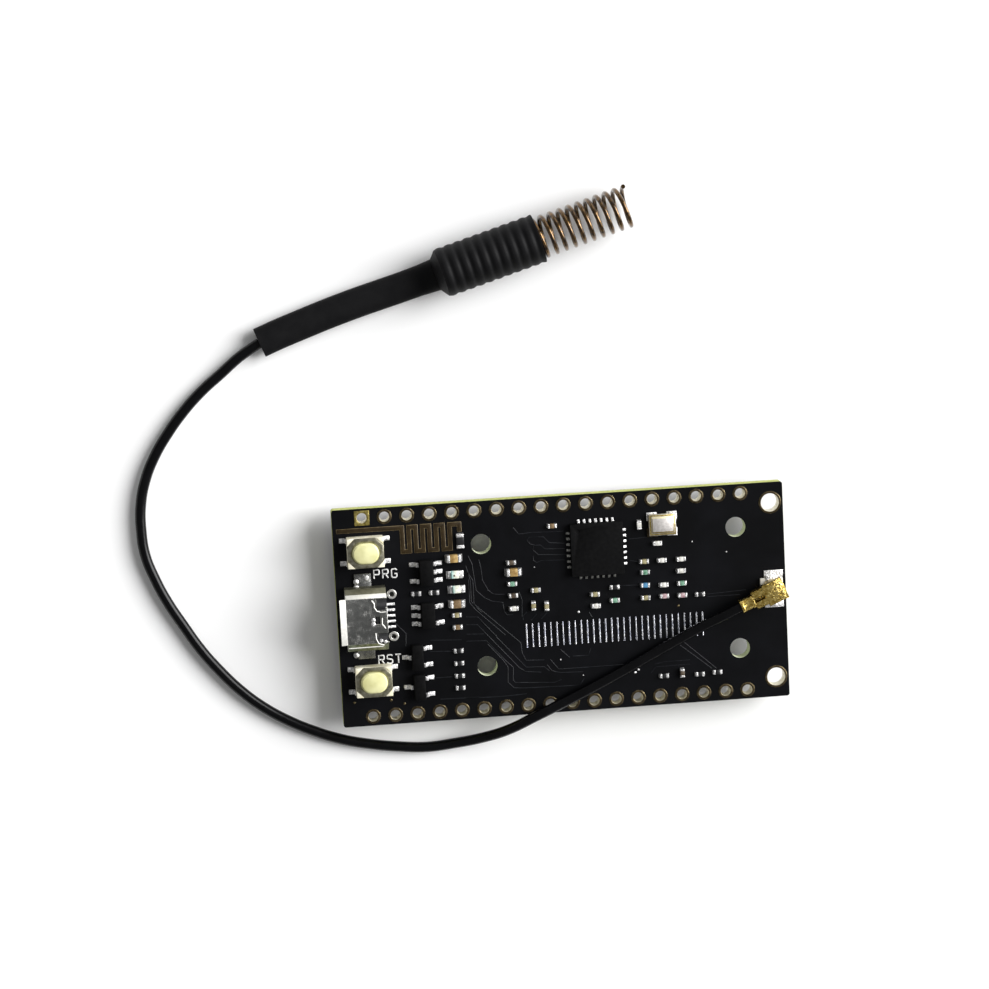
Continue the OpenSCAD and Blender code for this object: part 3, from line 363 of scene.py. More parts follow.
# %% [markdown]
# Two metal parts change over one face. The socket's shell is scratched on top and folds down along
# its sides, with a painted highlight on the slope by the top and painted shade where it turns down,
# and the crystal's lid sits in a brazed gold frame with a painted highlight on its far side. Their
# finishes choose by place.

# %% Finishes that change by place
SHELL_FOLD = 3.1 * MM
LID_FRAME_X = 0.14
LID_FRAME_Y = 0.2


def scratched_steel():
    """Dull sheet with thin bright scratches that run three ways."""
    finish = Finish("shell_steel", (0.42, 0.42, 0.4), metallic=1.0)
    cloud = finish.grain(0.8 * MM, 4)
    marks = 0
    for turn in (0.7, 1.3, 2.2):
        line = 1 - abs(finish.grain(0.16 * MM, 1, 14, turn) - 0.5) * 70
        marks = marks + line.math("MAXIMUM", line, 0)
    marks = marks * cloud.spread(0.48, 0.7) * 0.8
    plain = finish.mix(cloud.spread(0.2, 0.8), (0.19, 0.195, 0.19), (0.27, 0.27, 0.26))
    finish.set(base_color=finish.mix(marks, plain, (0.95, 0.94, 0.9)))
    finish.set(roughness=0.2 + 0.15 * finish.grain(0.15 * MM) + 0.3 * marks)
    return finish.bump(finish.grain(0.12 * MM, 2) + 0.5 * marks, 0.006 * MM, 0.5)


def lid_finish():
    """A pale lid inside a brazed gold frame, dark gold with a painted highlight along its far side."""
    finish = Finish("lid_metal", (0.75, 0.73, 0.7), metallic=1.0)
    low, high = (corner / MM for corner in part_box("crystal_lid"))
    middle = (low + high) / 2
    across = abs(finish.place("X") / MM - middle.x).above((high.x - low.x) / 2 - LID_FRAME_X)
    along = abs(finish.place("Y") / MM - middle.y).above((high.y - low.y) / 2 - LID_FRAME_Y)
    frame_mask = (across + along).above(0.5)
    # The far strip of the frame is pale gold, a painted highlight; the rest of the frame is dark gold.
    far = (finish.place("Y") / MM).above(high.y - LID_FRAME_Y)
    gold = finish.mix(far, (0.26, 0.19, 0.05), (0.95, 0.85, 0.5))
    ground = finish.grain(0.25 * MM).spread(0.3, 0.7)
    pale = finish.mix(ground, (0.58, 0.55, 0.53), (0.8, 0.77, 0.74))
    finish.set(base_color=finish.mix(frame_mask, pale, gold))
    return finish.set(roughness=0.5 + 0.1 * finish.grain(0.2 * MM))


def lit_and_shaded_side():
    """The long side of the shell: a painted highlight on the slope by the top, painted shade where it
    turns down.
    """
    finish = Finish("side_steel", (0.9, 0.89, 0.84), metallic=1.0)
    grain = finish.grain(0.4 * MM)
    bright = finish.mix(grain, (0.8, 0.79, 0.72), (1.0, 0.99, 0.93))
    turned_down_shade = finish.mix(grain, (0.12, 0.12, 0.08), (0.3, 0.29, 0.21))
    finish.set(base_color=finish.mix(finish.place("Y").above(SHELL_FOLD), bright, turned_down_shade))
    return finish.set(roughness=0.4 + 0.1 * grain)


shell_steel = scratched_steel()
lid_metal = lid_finish()
side_steel = lit_and_shaded_side()
print("finishes by place", shell_steel.material.name, lid_metal.material.name, side_steel.material.name)

# %% [markdown]
# The plastics and ceramics are plain, but none is one flat colour: each gets a slow change of
# tone and a fine relief at the size that moulding or grinding leaves. Small ceramic parts differ
# from one another, so they share one recipe and each takes its own pair of colours.

# %% Plastic and ceramic finishes
chip_black = toned(
    "chip_moulding", (0.0014, 0.0014, 0.0016), (0.004, 0.004, 0.0042),
    0.4 * MM, 0.6, specular_ior_level=0.07,
)
case_cream = toned("switch_case", (0.70, 0.64, 0.42), (0.95, 0.92, 0.78), 0.8 * MM, 0.4)
button_cream = toned("button_plastic", (0.62, 0.60, 0.27), (0.80, 0.78, 0.44), 1.6 * MM, 0.36, 0.01)
tongue_black = toned("tongue_moulding", (0.01, 0.01, 0.011), (0.02, 0.02, 0.022), 0.4 * MM, 0.5)
dark_glaze = toned("resistor_glaze", (0.004, 0.004, 0.005), (0.012, 0.012, 0.013), 0.3 * MM, 0.3)
white_moulding = toned("white_moulding", (0.70, 0.67, 0.58), (0.9, 0.88, 0.8), 0.6 * MM, 0.4)
amber_resin = toned("tantalum_resin", (0.38, 0.2, 0.03), (0.6, 0.36, 0.08), 0.8 * MM, 0.3)
jacket = toned(
    "lead_jacket", (0.001, 0.001, 0.0013), (0.0024, 0.0024, 0.003),
    1.2 * MM, 0.16, 0.02, specular_ior_level=0.18,
)
shrink = toned(
    "shrink_sleeve", (0.0026, 0.0026, 0.0032), (0.0055, 0.0055, 0.006),
    1.5 * MM, 0.5, 0.01, specular_ior_level=0.13,
)
# Pale grey for the end rim of the black sleeve, a painted glint.
sleeve_rim = toned("sleeve_rim", (0.10, 0.10, 0.14), (0.5, 0.5, 0.58), 1.0 * MM, 0.4)
masked_copper = toned(
    "masked_copper", (0.016, 0.010, 0.004), (0.034, 0.022, 0.008),
    0.7 * MM, 0.35, specular_ior_level=0.2,
)
strip_edge = toned("strip_edge", (0.12, 0.08, 0.03), (0.34, 0.26, 0.13), 0.5 * MM, 0.3)
under_mask = toned(
    "under_mask", (0.004, 0.0045, 0.0055), (0.013, 0.014, 0.017),
    0.7 * MM, 0.3, specular_ior_level=0.15,
)
silk_white = toned("silk_white", (0.5, 0.5, 0.5), (0.9, 0.9, 0.88), 0.25 * MM, 0.6, 0.01)
ceramics = {
    name: toned("ceramic_" + name, dark, light, 0.35 * MM, 0.35, 0.01)
    for name, dark, light in [
        ("brown", (0.10, 0.06, 0.025), (0.28, 0.19, 0.10)),
        ("olive", (0.17, 0.14, 0.06), (0.42, 0.38, 0.22)),
        ("white", (0.5, 0.49, 0.44), (0.85, 0.84, 0.8)),
        ("dark", (0.03, 0.02, 0.015), (0.12, 0.09, 0.06)),
        ("gold", (0.22, 0.12, 0.03), (0.52, 0.36, 0.14)),
        ("green", (0.05, 0.16, 0.09), (0.25, 0.45, 0.33)),
        ("blue", (0.03, 0.12, 0.26), (0.12, 0.35, 0.55)),
        ("mauve", (0.28, 0.16, 0.18), (0.6, 0.45, 0.46)),
    ]
}


def lamp_finish():
    """Milky resin that is cyan at its left end, with one dark spot where the chip sits."""
    finish = Finish("lamp_resin", (0.85, 0.87, 0.8), roughness=0.25)
    end = finish.place("X").spread(-12.2 * MM, -12.7 * MM)
    milk = finish.mix(finish.grain(0.3 * MM).spread(0.3, 0.7), (0.6, 0.62, 0.5), (0.95, 0.96, 0.88))
    tinted = finish.mix(end, milk, (0.35, 0.72, 0.70))
    spot = finish.away(-12.3, 4.25).spread(0.14, 0.09)
    return finish.set(base_color=finish.mix(spot, tinted, (0.08, 0.06, 0.03)))


lamp_resin = lamp_finish()
lead.data.materials.append(jacket.material)
print("finishes", len(bpy.data.materials))

# %% [markdown]
# The solids carry over with hard edges. Real edges catch light, so each visible node is copied,
# its loose triangles are joined, a small bevel is run along its sharp edges, and the copy stands
# for the solid. The bevel can have a finish of its own, such as a rim's plating, or a near-white
# metal that paints a highlight along the edge.

# %% Tools for dressing
def applied(piece):
    """Turns a piece and its modifiers into a plain mesh."""
    evaluated = piece.evaluated_get(bpy.context.evaluated_depsgraph_get())
    mesh = bpy.data.meshes.new_from_object(evaluated)
    piece.modifiers.clear()
    piece.data = mesh
    return piece


def shade(piece, angle):
    """Smooth shading, with edges sharper than angle kept hard."""
    mesh = piece.data
    mesh.polygons.foreach_set("use_smooth", [True] * len(mesh.polygons))
    mesh.set_sharp_from_angle(angle=math.radians(angle))


def plain_copy(node):
    """A copy of a solid's mesh with its loose and flat triangles joined."""
    mesh = frame["nodes"][node].data.copy()
    work = bmesh.new()
    work.from_mesh(mesh)
    bmesh.ops.remove_doubles(work, verts=work.verts, dist=0.0002 * MM)
    bmesh.ops.dissolve_limit(work, angle_limit=math.radians(0.5), verts=work.verts, edges=work.edges)
    work.to_mesh(mesh)
    work.free()
    mesh.materials.clear()
    return mesh


def dressed(node, finish, bevel, edge=None, smooth=35):
    """A bevelled copy of a solid, which stands for it."""
    mesh = plain_copy(node)
    mesh.materials.append(finish.material)
    piece = link(node + "_dressed", mesh)
    rounding = piece.modifiers.new("bevel", "BEVEL")
    rounding.width = bevel * MM
    rounding.segments = 2
    rounding.limit_method = "ANGLE"
    rounding.angle_limit = math.radians(30)
    if edge:
        mesh.materials.append(edge.material)
        rounding.material = 1
    applied(piece)
    shade(piece, smooth)
    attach(piece, frame["nodes"][node]["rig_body"])
    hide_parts(node)
    return piece


def repaint(piece, finish, chosen):
    """Gives a finish to the faces that a test on their middle, in millimetres, picks."""
    mesh = piece.data
    mesh.materials.append(finish.material)
    for face in mesh.polygons:
        if chosen(face.center / MM, face.normal):
            face.material_index = len(mesh.materials) - 1


def near(*places):
    """A test for faces within half a small part of one of these places."""
    spots = [Vector(p) for p in places]
    reach = 0.62
    return lambda middle, normal: any((middle.xy - spot).length < reach for spot in spots)


print("nodes", len(frame["nodes"]))

# %% [markdown]
# Each solid is dressed from one table: its finish, the width of its rounded edges in millimetres,
# and a finish for those edges where they show brighter. Deep holes and hidden parts stay plain.

# %% Dress the solids
def refinish(node, finish):
    """Gives a solid that is shown as it is a better material."""
    mesh = frame["nodes"][node].data
    mesh.materials.clear()
    mesh.materials.append(finish.material)


plain_nodes = {
    "board": solder_mask, "usb_tongue": tongue_black, "prg_dome": cover_sheet, "rst_dome": cover_sheet,
    "socket_pin": stamped_gold, "processor_pads": solder, "serial_pads": solder, "battery_pins": solder,
    "bulk_capacitor_ends": solder, "lower_passives": ceramics["olive"], "lower_passive_ends": solder,
    "plug_insulator": white_moulding, "plug_contact": stamped_gold,
}
for node, finish in plain_nodes.items():
    refinish(node, finish)
dressed_nodes = {
    "header_eyelets": (dark_plating, 0.03, rim_plating),
    "fixing_eyelets": (dark_plating, 0.03, rim_plating),
    "printed_aerial": (masked_copper, 0.045, strip_edge), "usb_shell": (shell_steel, 0.06, bright_edge),
    "usb_contacts": (solder, 0.03, None), "prg_terminals": (solder, 0.04, bright_edge),
    "rst_terminals": (solder, 0.04, bright_edge), "prg_base": (case_cream, 0.06, None),
    "rst_base": (case_cream, 0.06, None), "prg_cover": (cover_sheet, 0.04, None),
    "rst_cover": (cover_sheet, 0.04, None), "prg_button": (button_cream, 0.1, None),
    "rst_button": (button_cream, 0.1, None), "radio_chip": (chip_black, 0.04, None),
    "radio_chip_pads": (solder, 0.05, None), "crystal_base": (gold_rim, 0.05, bright_edge),
    "crystal_lid": (lid_metal, 0.06, bright_edge), "charger_chip": (chip_black, 0.04, None),
    "regulator_chip": (chip_black, 0.04, None), "transistor_bodies": (chip_black, 0.04, None),
    "charger_leads": (solder, 0.05, None), "regulator_leads": (solder, 0.05, None),
    "transistor_leads": (solder, 0.05, None), "lamp_bodies": (lamp_resin, 0.04, None),
    "lamp_ends": (solder, 0.06, None), "capacitor_bodies": (ceramics["brown"], 0.03, None),
    "capacitor_ends": (solder, 0.05, None), "resistor_bodies": (dark_glaze, 0.03, None),
    "resistor_ends": (solder, 0.05, None), "inductor_bodies": (ceramics["green"], 0.03, None),
    "inductor_ends": (solder, 0.05, None), "socket_base": (white_moulding, 0.04, None),
    "socket_shell": (solder, 0.04, bright_edge), "plug_shell": (stamped_gold, 0.06, None),
    "plug_ferrule": (stamped_gold, 0.03, None), "processor_chip": (chip_black, 0.04, None),
    "memory_chip": (chip_black, 0.05, None), "memory_leads": (solder, 0.04, None),
    "serial_chip": (chip_black, 0.04, None), "processor_crystal": (lid_metal, 0.05, None),
    "battery_socket": (white_moulding, 0.06, None), "bulk_capacitor": (amber_resin, 0.08, None),
}
pieces = {node: dressed(node, *settings) for node, settings in dressed_nodes.items()}
print("dressed", len(dressed_nodes), "plain", len(plain_nodes))

# %% [markdown]
# Some solids hold parts that look different, so their faces are picked out by place and by which
# way they face. Here they are the linings of the holes, pale plating painted lighter as painted light,
# the square land of the first pin, the folds and the lip of the socket's shell with painted highlight
# and painted shade, the feet of the crystal, tinned where lit and in painted shade away from the far
# and right sides, and the radio chip's pads, in painted shade on the left and near sides.

# %% Faces that differ
TOP_MM = TOP / MM
FIRST_PIN_X = -21.3
LIP_X = -24.83
NOTCH_X = -21.9
ANCHOR_X = -20.1
FOOT_HIGH = 0.2
PAD_DEEP = 0.7
usb_middle = sum(corner.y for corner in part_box("usb_shell")) / 2 / MM
crystal = (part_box("crystal_base")[0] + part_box("crystal_base")[1]) / 2 / MM
pads_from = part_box("radio_chip_pads")[0] / MM
eyelets = pieces["header_eyelets"]
fixings = pieces["fixing_eyelets"]
shell = pieces["usb_shell"]


def lining(middle, normal):
    return abs(normal.z) < 0.5 and UNDER / MM < middle.z < TOP_MM


def first_land(middle, normal):
    return middle.x < FIRST_PIN_X and middle.y > 10 and normal.z > 0.9


def notch_floor(middle, normal):
    return normal.z > 0.9 and middle.z < TOP_MM + 2 and middle.x > NOTCH_X


def anchor(middle, normal):
    return middle.x > ANCHOR_X and abs(middle.y - usb_middle) > 1.9 and middle.z < TOP_MM + 0.6


def foot(middle, normal):
    return middle.z < TOP_MM + FOOT_HIGH


def lit_foot(middle, normal):
    return foot(middle, normal) and (middle.y > crystal.y + 0.9 or middle.x > crystal.x + 1.2)


def shaded_pad(middle, normal):
    return middle.x < pads_from.x + PAD_DEEP or middle.y < pads_from.y + PAD_DEEP


# Hole linings take the pale plating: painted light on walls that lie in shade.
repaint(eyelets, barrel_plating, lining)
repaint(fixings, barrel_plating, lining)
# The fixing eyelets on the left half take the near-white edge metal on every face, a painted highlight.
repaint(fixings, bright_edge, lambda middle, normal: middle.x < 0)
# Side faces not turned to the near side take the painted highlight and painted shade of the fold.
repaint(shell, side_steel, lambda middle, normal: normal.z < 0.93 and normal.y > -0.2)
# Faces turned to the near side take the greenish dark steel, painted shade.
repaint(shell, green_steel, lambda middle, normal: normal.z < 0.93 and normal.y < -0.2)
# The flared lip takes the near-white steel, a painted highlight.
repaint(shell, lip_steel, lambda middle, normal: middle.x < LIP_X and middle.z > TOP_MM + 2.2)
repaint(eyelets, olive_plating, first_land)
repaint(shell, tongue_black, notch_floor)
for node in ("usb_shell", "usb_contacts"):
    repaint(pieces[node], dark_tin, anchor)
# All crystal feet first get the dark plating as painted shade; those on the far and right sides are then
# tinned and lit.
repaint(pieces["crystal_base"], dark_plating, foot)
repaint(pieces["crystal_base"], solder, lit_foot)
# The radio chip's pads on the left and near sides take dark tin, painted shade.
repaint(pieces["radio_chip_pads"], dark_tin, shaded_pad)
print("materials on the shell", len(shell.data.materials))

# %% [markdown]
# The small ceramic parts come in many colours, which tell one kind from another. Each list holds
# the places of the parts that share a colour.

# %% Colours of the small parts
ceramic_places = {
    "olive": [
        (9.45, 4.35), (9.45, 0.15), (3.65, 0.95), (-3.1, 1.9), (-3.45, 0.1), (-12.25, -0.35),
        (-1.95, -0.05),
    ],
    "white": [
        (11.5, 4.35), (11.6, 1.5), (11.05, 6.35), (9.05, 8.6), (3.7, -0.4), (13.7, 4.35), (13.65, 3),
        (-5.7, -0.05),
    ],
    "dark": [(13.3, -8.9), (-5.75, 5.25), (-5.7, 1.45)],
    "gold": [(-12.25, 6.2), (-5.55, 4.15)],
}
for colour, places in ceramic_places.items():
    repaint(pieces["capacitor_bodies"], ceramics[colour], near(*places))
repaint(pieces["inductor_bodies"], ceramics["blue"], near((9.45, 1.6)))
repaint(pieces["inductor_bodies"], ceramics["mauve"], near((11.6, 0.2), (13.7, 0.15)))
print("materials on the capacitors", len(pieces["capacitor_bodies"].data.materials))

# %% [markdown]
# What repeats or follows a path is left to Geometry Nodes. A shape is a small tree with named
# inputs; it is run once on a piece, turned into a plain mesh, and the modifier is taken off.

# %% Shapes by nodes
class Shape(Tree):
    """A geometry tree with named inputs."""

    def __init__(self, name, **inputs):
        super().__init__(bpy.data.node_groups.new(name, "GeometryNodeTree"))
        self.values = inputs
        sockets = self.tree.interface
        sockets.new_socket("Geometry", in_out="INPUT", socket_type="NodeSocketGeometry")
        sockets.new_socket("Geometry", in_out="OUTPUT", socket_type="NodeSocketGeometry")
        for key, value in inputs.items():
            kind = "NodeSocketInt" if isinstance(value, int) else "NodeSocketFloat"
            sockets.new_socket(key, in_out="INPUT", socket_type=kind)
        self.given = self.tree.nodes.new("NodeGroupInput")

    def get(self, key):
        return Value(self, self.given.outputs[key])

    def run(self, name, shape, finish, start=None):
        """A plain mesh piece from this shape, on the board's body."""
        made = self.node("GeometryNodeRealizeInstances", None, {0: shape})
        made = self.node("GeometryNodeSetMaterial", None, {"Geometry": made, "Material": finish.material})
        self.feed(self.tree.nodes.new("NodeGroupOutput").inputs[0], made)
        piece = link(name, start or bpy.data.meshes.new(name))
        modifier = piece.modifiers.new(name, "NODES")
        modifier.node_group = self.tree
        for item in self.tree.interface.items_tree:
            if item.in_out == "INPUT" and item.name in self.values:
                modifier[item.identifier] = self.values[item.name]
        applied(piece)
        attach(piece, BOARD)
        return piece

    def tube(self, path, radius, sides=12):
        """A round tube with closed ends along a path."""
        circle = {"Resolution": sides, "Radius": radius}
        profile = self.node("GeometryNodeCurvePrimitiveCircle", None, circle)
        return self.sweep(path, profile)

    def sweep(self, path, profile):
        """A solid that carries a closed profile along a path."""
        swept = {"Curve": path, "Profile Curve": profile, "Fill Caps": True}
        return self.node("GeometryNodeCurveToMesh", None, swept)

    def scatter(self, points, thing, size):
        """A copy of a thing on every point, at a size of its own."""
        return self.node("GeometryNodeInstanceOnPoints", None, {
            "Points": points, "Instance": thing, "Scale": size,
        })


def paths(name, routes):
    """A mesh of loose edges through points in millimetres, on the board's top or above it."""
    mesh = bpy.data.meshes.new(name)
    points = [(x * MM, y * MM, TOP + sum(up) * MM) for route in routes for x, y, *up in route]
    edges = []
    count = 0
    for route in routes:
        edges += [(count + i, count + i + 1) for i in range(len(route) - 1)]
        count += len(route)
    mesh.from_pydata(points, edges, [])
    return mesh


print("shapes ready")

# %% [markdown]
# Thirty tinned beads stand in a row where the display's ribbon was soldered. One bead is a round
# tube pressed flat, and it is set on the points of a line with small random differences.

# %% Beads of the display row
def display_beads():
    low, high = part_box("display_pads")
    count = 30
    half = 0.17 * MM
    shape = Shape("beads", Count=count, Width=2 * half, Seed=4)
    step = (high.x - low.x - 2 * half) / (count - 1)
    line = shape.node("GeometryNodeMeshLine", {"mode": "OFFSET"}, {
        "Count": shape.get("Count"), "Offset": (step, 0, 0),
        "Start Location": (low.x + half, (low.y + high.y) / 2, TOP + 0.02 * MM),
    })
    reach = (high.y - low.y) / 2 - half * 0.5
    spine = shape.node("GeometryNodeCurvePrimitiveLine", None, {
        "Start": (0, -reach, 0), "End": (0, reach, 0),
    })
    bead = shape.tube(spine, shape.get("Width") * 0.5, 14)
    size = shape.node("FunctionNodeRandomValue", {"data_type": "FLOAT_VECTOR"}, {
        "Min": (0.5, 0.97, 0.5), "Max": (0.64, 1.0, 0.7), "Seed": shape.get("Seed"),
    })
    piece = shape.run("display_beads", shape.scatter(line, bead, size), bead_tin)
    shade(piece, 50)
    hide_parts("display_pads")
    return piece


print("beads", len(display_beads().data.polygons))

# %% [markdown]
# Lines and drops come next. A stroke turns loose edges into curves and sweeps a flat profile along
# them, and a drop of solder is a low dome set on a point. The two buttons are named in white
# strokes, so every letter is a few short lines on a grid of one letter's height.

# %% Strokes, drops and the buttons' names
def strokes(name, routes, width, height, finish):
    """Flat raised lines, on the board's top or at the height that their points give."""
    shape = Shape(name, Width=width * MM, Height=height * MM)
    path = shape.node("GeometryNodeMeshToCurve", None, {0: shape.get("Geometry")})
    bar = shape.node("GeometryNodeCurvePrimitiveQuadrilateral", None, {
        "Width": shape.get("Width"), "Height": shape.get("Height"),
    })
    return shape.run(name, shape.sweep(path, bar), finish, paths(name, routes))


def drops(name, places, wide, finish):
    """Low round domes, on the board's top or at the height that their places give."""
    shape = Shape(name, Radius=wide / 2 * MM)
    dome = shape.node("GeometryNodeMeshUVSphere", None, {
        "Segments": 12, "Rings": 8, "Radius": shape.get("Radius"),
    })
    row = shape.scatter(shape.get("Geometry"), dome, (1, 1, 0.35))
    shade(shape.run(name, row, finish, paths(name, [[place] for place in places])), 60)


letters = {
    "P": [[(0, 0), (0, 1), (0.55, 1), (0.62, 0.9), (0.62, 0.55), (0.55, 0.47), (0, 0.47)]],
    "R": [
        [(0, 0), (0, 1), (0.55, 1), (0.62, 0.9), (0.62, 0.6), (0.55, 0.5), (0, 0.5)],
        [(0.3, 0.5), (0.62, 0)],
    ],
    "G": [[
        (0.62, 0.85), (0.5, 1), (0.12, 1), (0, 0.85), (0, 0.15), (0.12, 0), (0.5, 0), (0.62, 0.15),
        (0.62, 0.45), (0.35, 0.45),
    ]],
    "S": [[
        (0.62, 0.88), (0.5, 1), (0.12, 1), (0, 0.88), (0, 0.62), (0.12, 0.52), (0.5, 0.48), (0.62, 0.36),
        (0.62, 0.12), (0.5, 0), (0.12, 0), (0, 0.12),
    ]],
    "T": [[(0, 1), (0.66, 1)], [(0.33, 1), (0.33, 0)]],
}


def word(text, x, y, high, step):
    """Strokes of a word from its lower left corner, in millimetres."""
    return [
        [(x + i * step + u * high, y + v * high) for u, v in stroke]
        for i, letter in enumerate(text) for stroke in letters[letter]
    ]


print_strokes = word("PRG", -21.35, 4.42, 0.98, 1.0) + word("RST", -21.35, -5.42, 0.98, 0.96)
strokes("button_legends", print_strokes, 0.16, 0.02, silk_white)
print("strokes of the names", len(print_strokes))

# %% [markdown]
# Under the black mask the copper tracks show as faint raised lines. These are the ones that the
# photograph shows, as places on the board in millimetres, with the small drops and rings near them.

# %% Tracks under the mask
tracks = [
    [(0.4, 8.4), (-3.4, 8.5), (-4.7, 8.4), (-5.3, 9.2)],
    [(0.5, 7.0), (-1.3, 7.2), (-1.9, 7.9), (-3.5, 8.0), (-3.8, 7.7), (-3.5, 7.2), (-2.9, 7.0)],
    [(0.5, 6.4), (-1.8, 6.5), (-2.3, 7.0), (-2.8, 7.0)],
    [(0.5, 5.7), (-2.6, 5.9), (-3.2, 6.5), (-3.1, 6.9)],
    [(0.4, 5.1), (-2.3, 5.2), (-2.8, 5.0), (-3.2, 5.3), (-3.2, 5.8)],
    [(-9.4, 5.8), (-9.2, 4.8), (-9.1, 3.4), (-8.5, 2.2), (-7.9, 1.7), (-6.6, 1.6)],
    [
        (-10.6, 6.3), (-10.2, 5.4), (-10.0, 3.5), (-9.9, 2.3), (-9.0, 1.4), (-8.1, 0.9), (-6.9, 0.7),
        (-6.8, -0.3), (-6.5, -0.8), (-5.8, -0.8),
    ],
    [(-10.9, 5.2), (-10.5, 3.5), (-10.5, 1.0), (-5.1, -4.1), (-5.0, -5.3), (-4.6, -6.2), (-2.5, -6.3)],
    [(-10.7, 3.6), (-10.7, 0.9), (-10.0, 0.0), (-6.8, -3.1)],
    [(-9.4, -1.4), (-8.4, -2.6), (-4.6, -7.0), (-2.5, -7.1), (-2.0, -7.6)],
    [(-11.2, -0.7), (-9.8, -0.8), (-9.2, -1.6), (-7.8, -3.2)],
    [(-11.2, -1.6), (-9.9, -1.7), (-8.9, -2.9), (-5.4, -7.0), (-4.7, -7.5), (-2.9, -7.7)],
    [
        (-11.3, -3.5), (-9.0, -3.6), (-6.9, -6.1), (-6.1, -6.9), (-6.2, -8.4), (-5.9, -8.7), (-1.4, -9.0),
        (-0.6, -8.7),
    ],
    [
        (-8.9, -4.0), (-7.2, -6.0), (-6.7, -6.8), (-6.8, -8.6), (-6.1, -9.3), (-4.9, -9.4), (-0.8, -9.5),
        (1.5, -9.5), (2.0, -8.7),
    ],
    [(-1.8, -6.3), (-0.9, -7.5), (2.7, -7.5), (6.6, -7.5)],
    [(-2.2, -6.9), (-1.7, -7.6), (-0.8, -7.9), (1.9, -8.0)],
    [(-11.7, -10.1), (-7.8, -10.2), (-4.7, -10.1)],
    [(-0.6, -5.2), (0.4, -6.2)],
    [(0.8, -6.1), (2.6, -6.1), (2.9, -5.3)],
    [(16.6, 0.0), (21.1, 0.2)],
    [(16.6, -0.3), (20.4, -0.3)],
    [(13.1, -5.6), (16.8, -8.7)],
    [(13.7, -5.4), (17.3, -8.7)],
    [(10.2, -7.7), (11.3, -7.5), (14.3, -7.5)],
    [(9.7, -8.7), (10.3, -8.0), (14.3, -8.0)],
    [(7.9, 7.0), (10.5, 7.1)],
    [(6.6, 1.7), (8.9, 1.6)],
    [(7.8, 4.5), (9.0, 4.3)],
    [(-10.8, 4.5), (-10.2, 3.5), (-10.2, 0.7), (-9.4, -0.3)],
    [(-11.2, -2.7), (-9.2, -2.8)],
    [(-15.5, -4.4), (-11.8, -4.6)],
    [(-15.0, -7.5), (-13.1, -7.5)],
    [(-14.6, -10.0), (-10.1, -10.1)],
    [(-15.4, -3.1), (-11.8, -3.3)],
    [(-19.2, -0.9), (-18.1, -2.1), (-18.2, -3.6)],
    [(-4.2, -0.6), (-4.7, -1.0), (-4.7, -1.5)],
    [(-3.1, -0.9), (-3.8, -1.6)],
    [(-1.9, -0.8), (-2.6, -1.5)],
    [(-5.0, 1.8), (-4.7, 0.8), (-4.8, -1.1)],
    [(2.9, -1.1), (3.2, -1.7)],
]
strokes("mask_tracks", tracks, 0.11, 0.03, under_mask)
drops("tinned_dots", [(1.7, -1.0), (7.9, -8.5), (8.3, -8.2), (2.4, 8.2)], 0.3, solder)
drops("small_dots", [(19.0, 4.8), (15.1, 6.2), (-0.6, -6.4), (1.9, -8.4), (-3.1, 4.5)], 0.16, solder)
drops("gold_dots", [(-20.2, -9.7), (-18.7, -10.2), (-24.4, -9.7), (13.2, -1.1)], 0.3, rim_plating)
print("tracks", len(tracks))

# %% [markdown]
# The socket's shell has rolled edges round its two notches, drawn in near-white steel as a painted
# highlight, and drops of solder on its top and on its tabs. They are strokes and drops again, lifted
# to the height of the shell.

# %% Folds and solder on the shell
SHELL_H = (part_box("usb_shell")[1].z - TOP) / MM
shell_folds = [
    [(-21.9, 2.45), (-21.62, 2.08), (-21.64, 1.62), (-21.37, 1.2), (-20.92, 1.05), (-20.34, 1.07)],
    [(-21.65, -1.27), (-21.62, -1.96), (-21.35, -2.5), (-20.73, -2.71)],
    [(-20.83, 0.41), (-20.86, -0.28), (-20.48, -0.82)],
    [(-24.76, -2.85), (-20.85, -2.82)],
]
notches = [
    [(-21.35, 1.78), (-20.37, 1.77)],
    [(-21.28, -2.1), (-20.36, -2.1)],
]
shell_drops = [(-21.05, -2.17), (-20.6, -2.32), (-21.82, 0.19), (-21.84, -0.27)]
tab_drops = [(-23.38, 4.23), (-23.41, 3.54), (-22.22, 4.61), (-23.84, -4.18)]


def lifted(places, height):
    """The same places with a height over the board."""
    return [(x, y, height) for x, y in places]


strokes("shell_notches", [lifted(route, SHELL_H) for route in notches], 0.85, 0.02, tongue_black)
# The rolled edges are strokes of near-white steel, a painted highlight.
strokes("shell_folds", [lifted(route, SHELL_H) for route in shell_folds], 0.12, 0.05, lip_steel)
drops("shell_solder", lifted(shell_drops, SHELL_H - 0.05), 0.55, solder)
drops("tab_solder", lifted(tab_drops, 0.2), 0.7, solder)
print("folds", len(shell_folds), "drops", len(shell_drops) + len(tab_drops))

# %% [markdown]
# The coil is one wire wound into an open helix. The nodes draw a spiral, sweep a round wire along
# it, and lay it down behind the sleeve. It starts in the recess at the sleeve's end.

# %% Coil
SLEEVE_FROM = Vector((-11.8, 38.33, 2.8)) * MM
COIL_TURN = math.radians(16.5)
COIL_WAY = Vector((math.cos(COIL_TURN), math.sin(COIL_TURN), 0))
COIL_PITCH = 1.1 * MM
RIBS = 11
RIB_RUN = (RIBS - 0.5) * COIL_PITCH
WIRE_D = 0.5 * MM
COIL_D = 4.95 * MM
BARE_TURNS = 10
RECESS = 0.4 * MM
COIL_START = WIRE_D / 2 + 0.05 * MM - RECESS


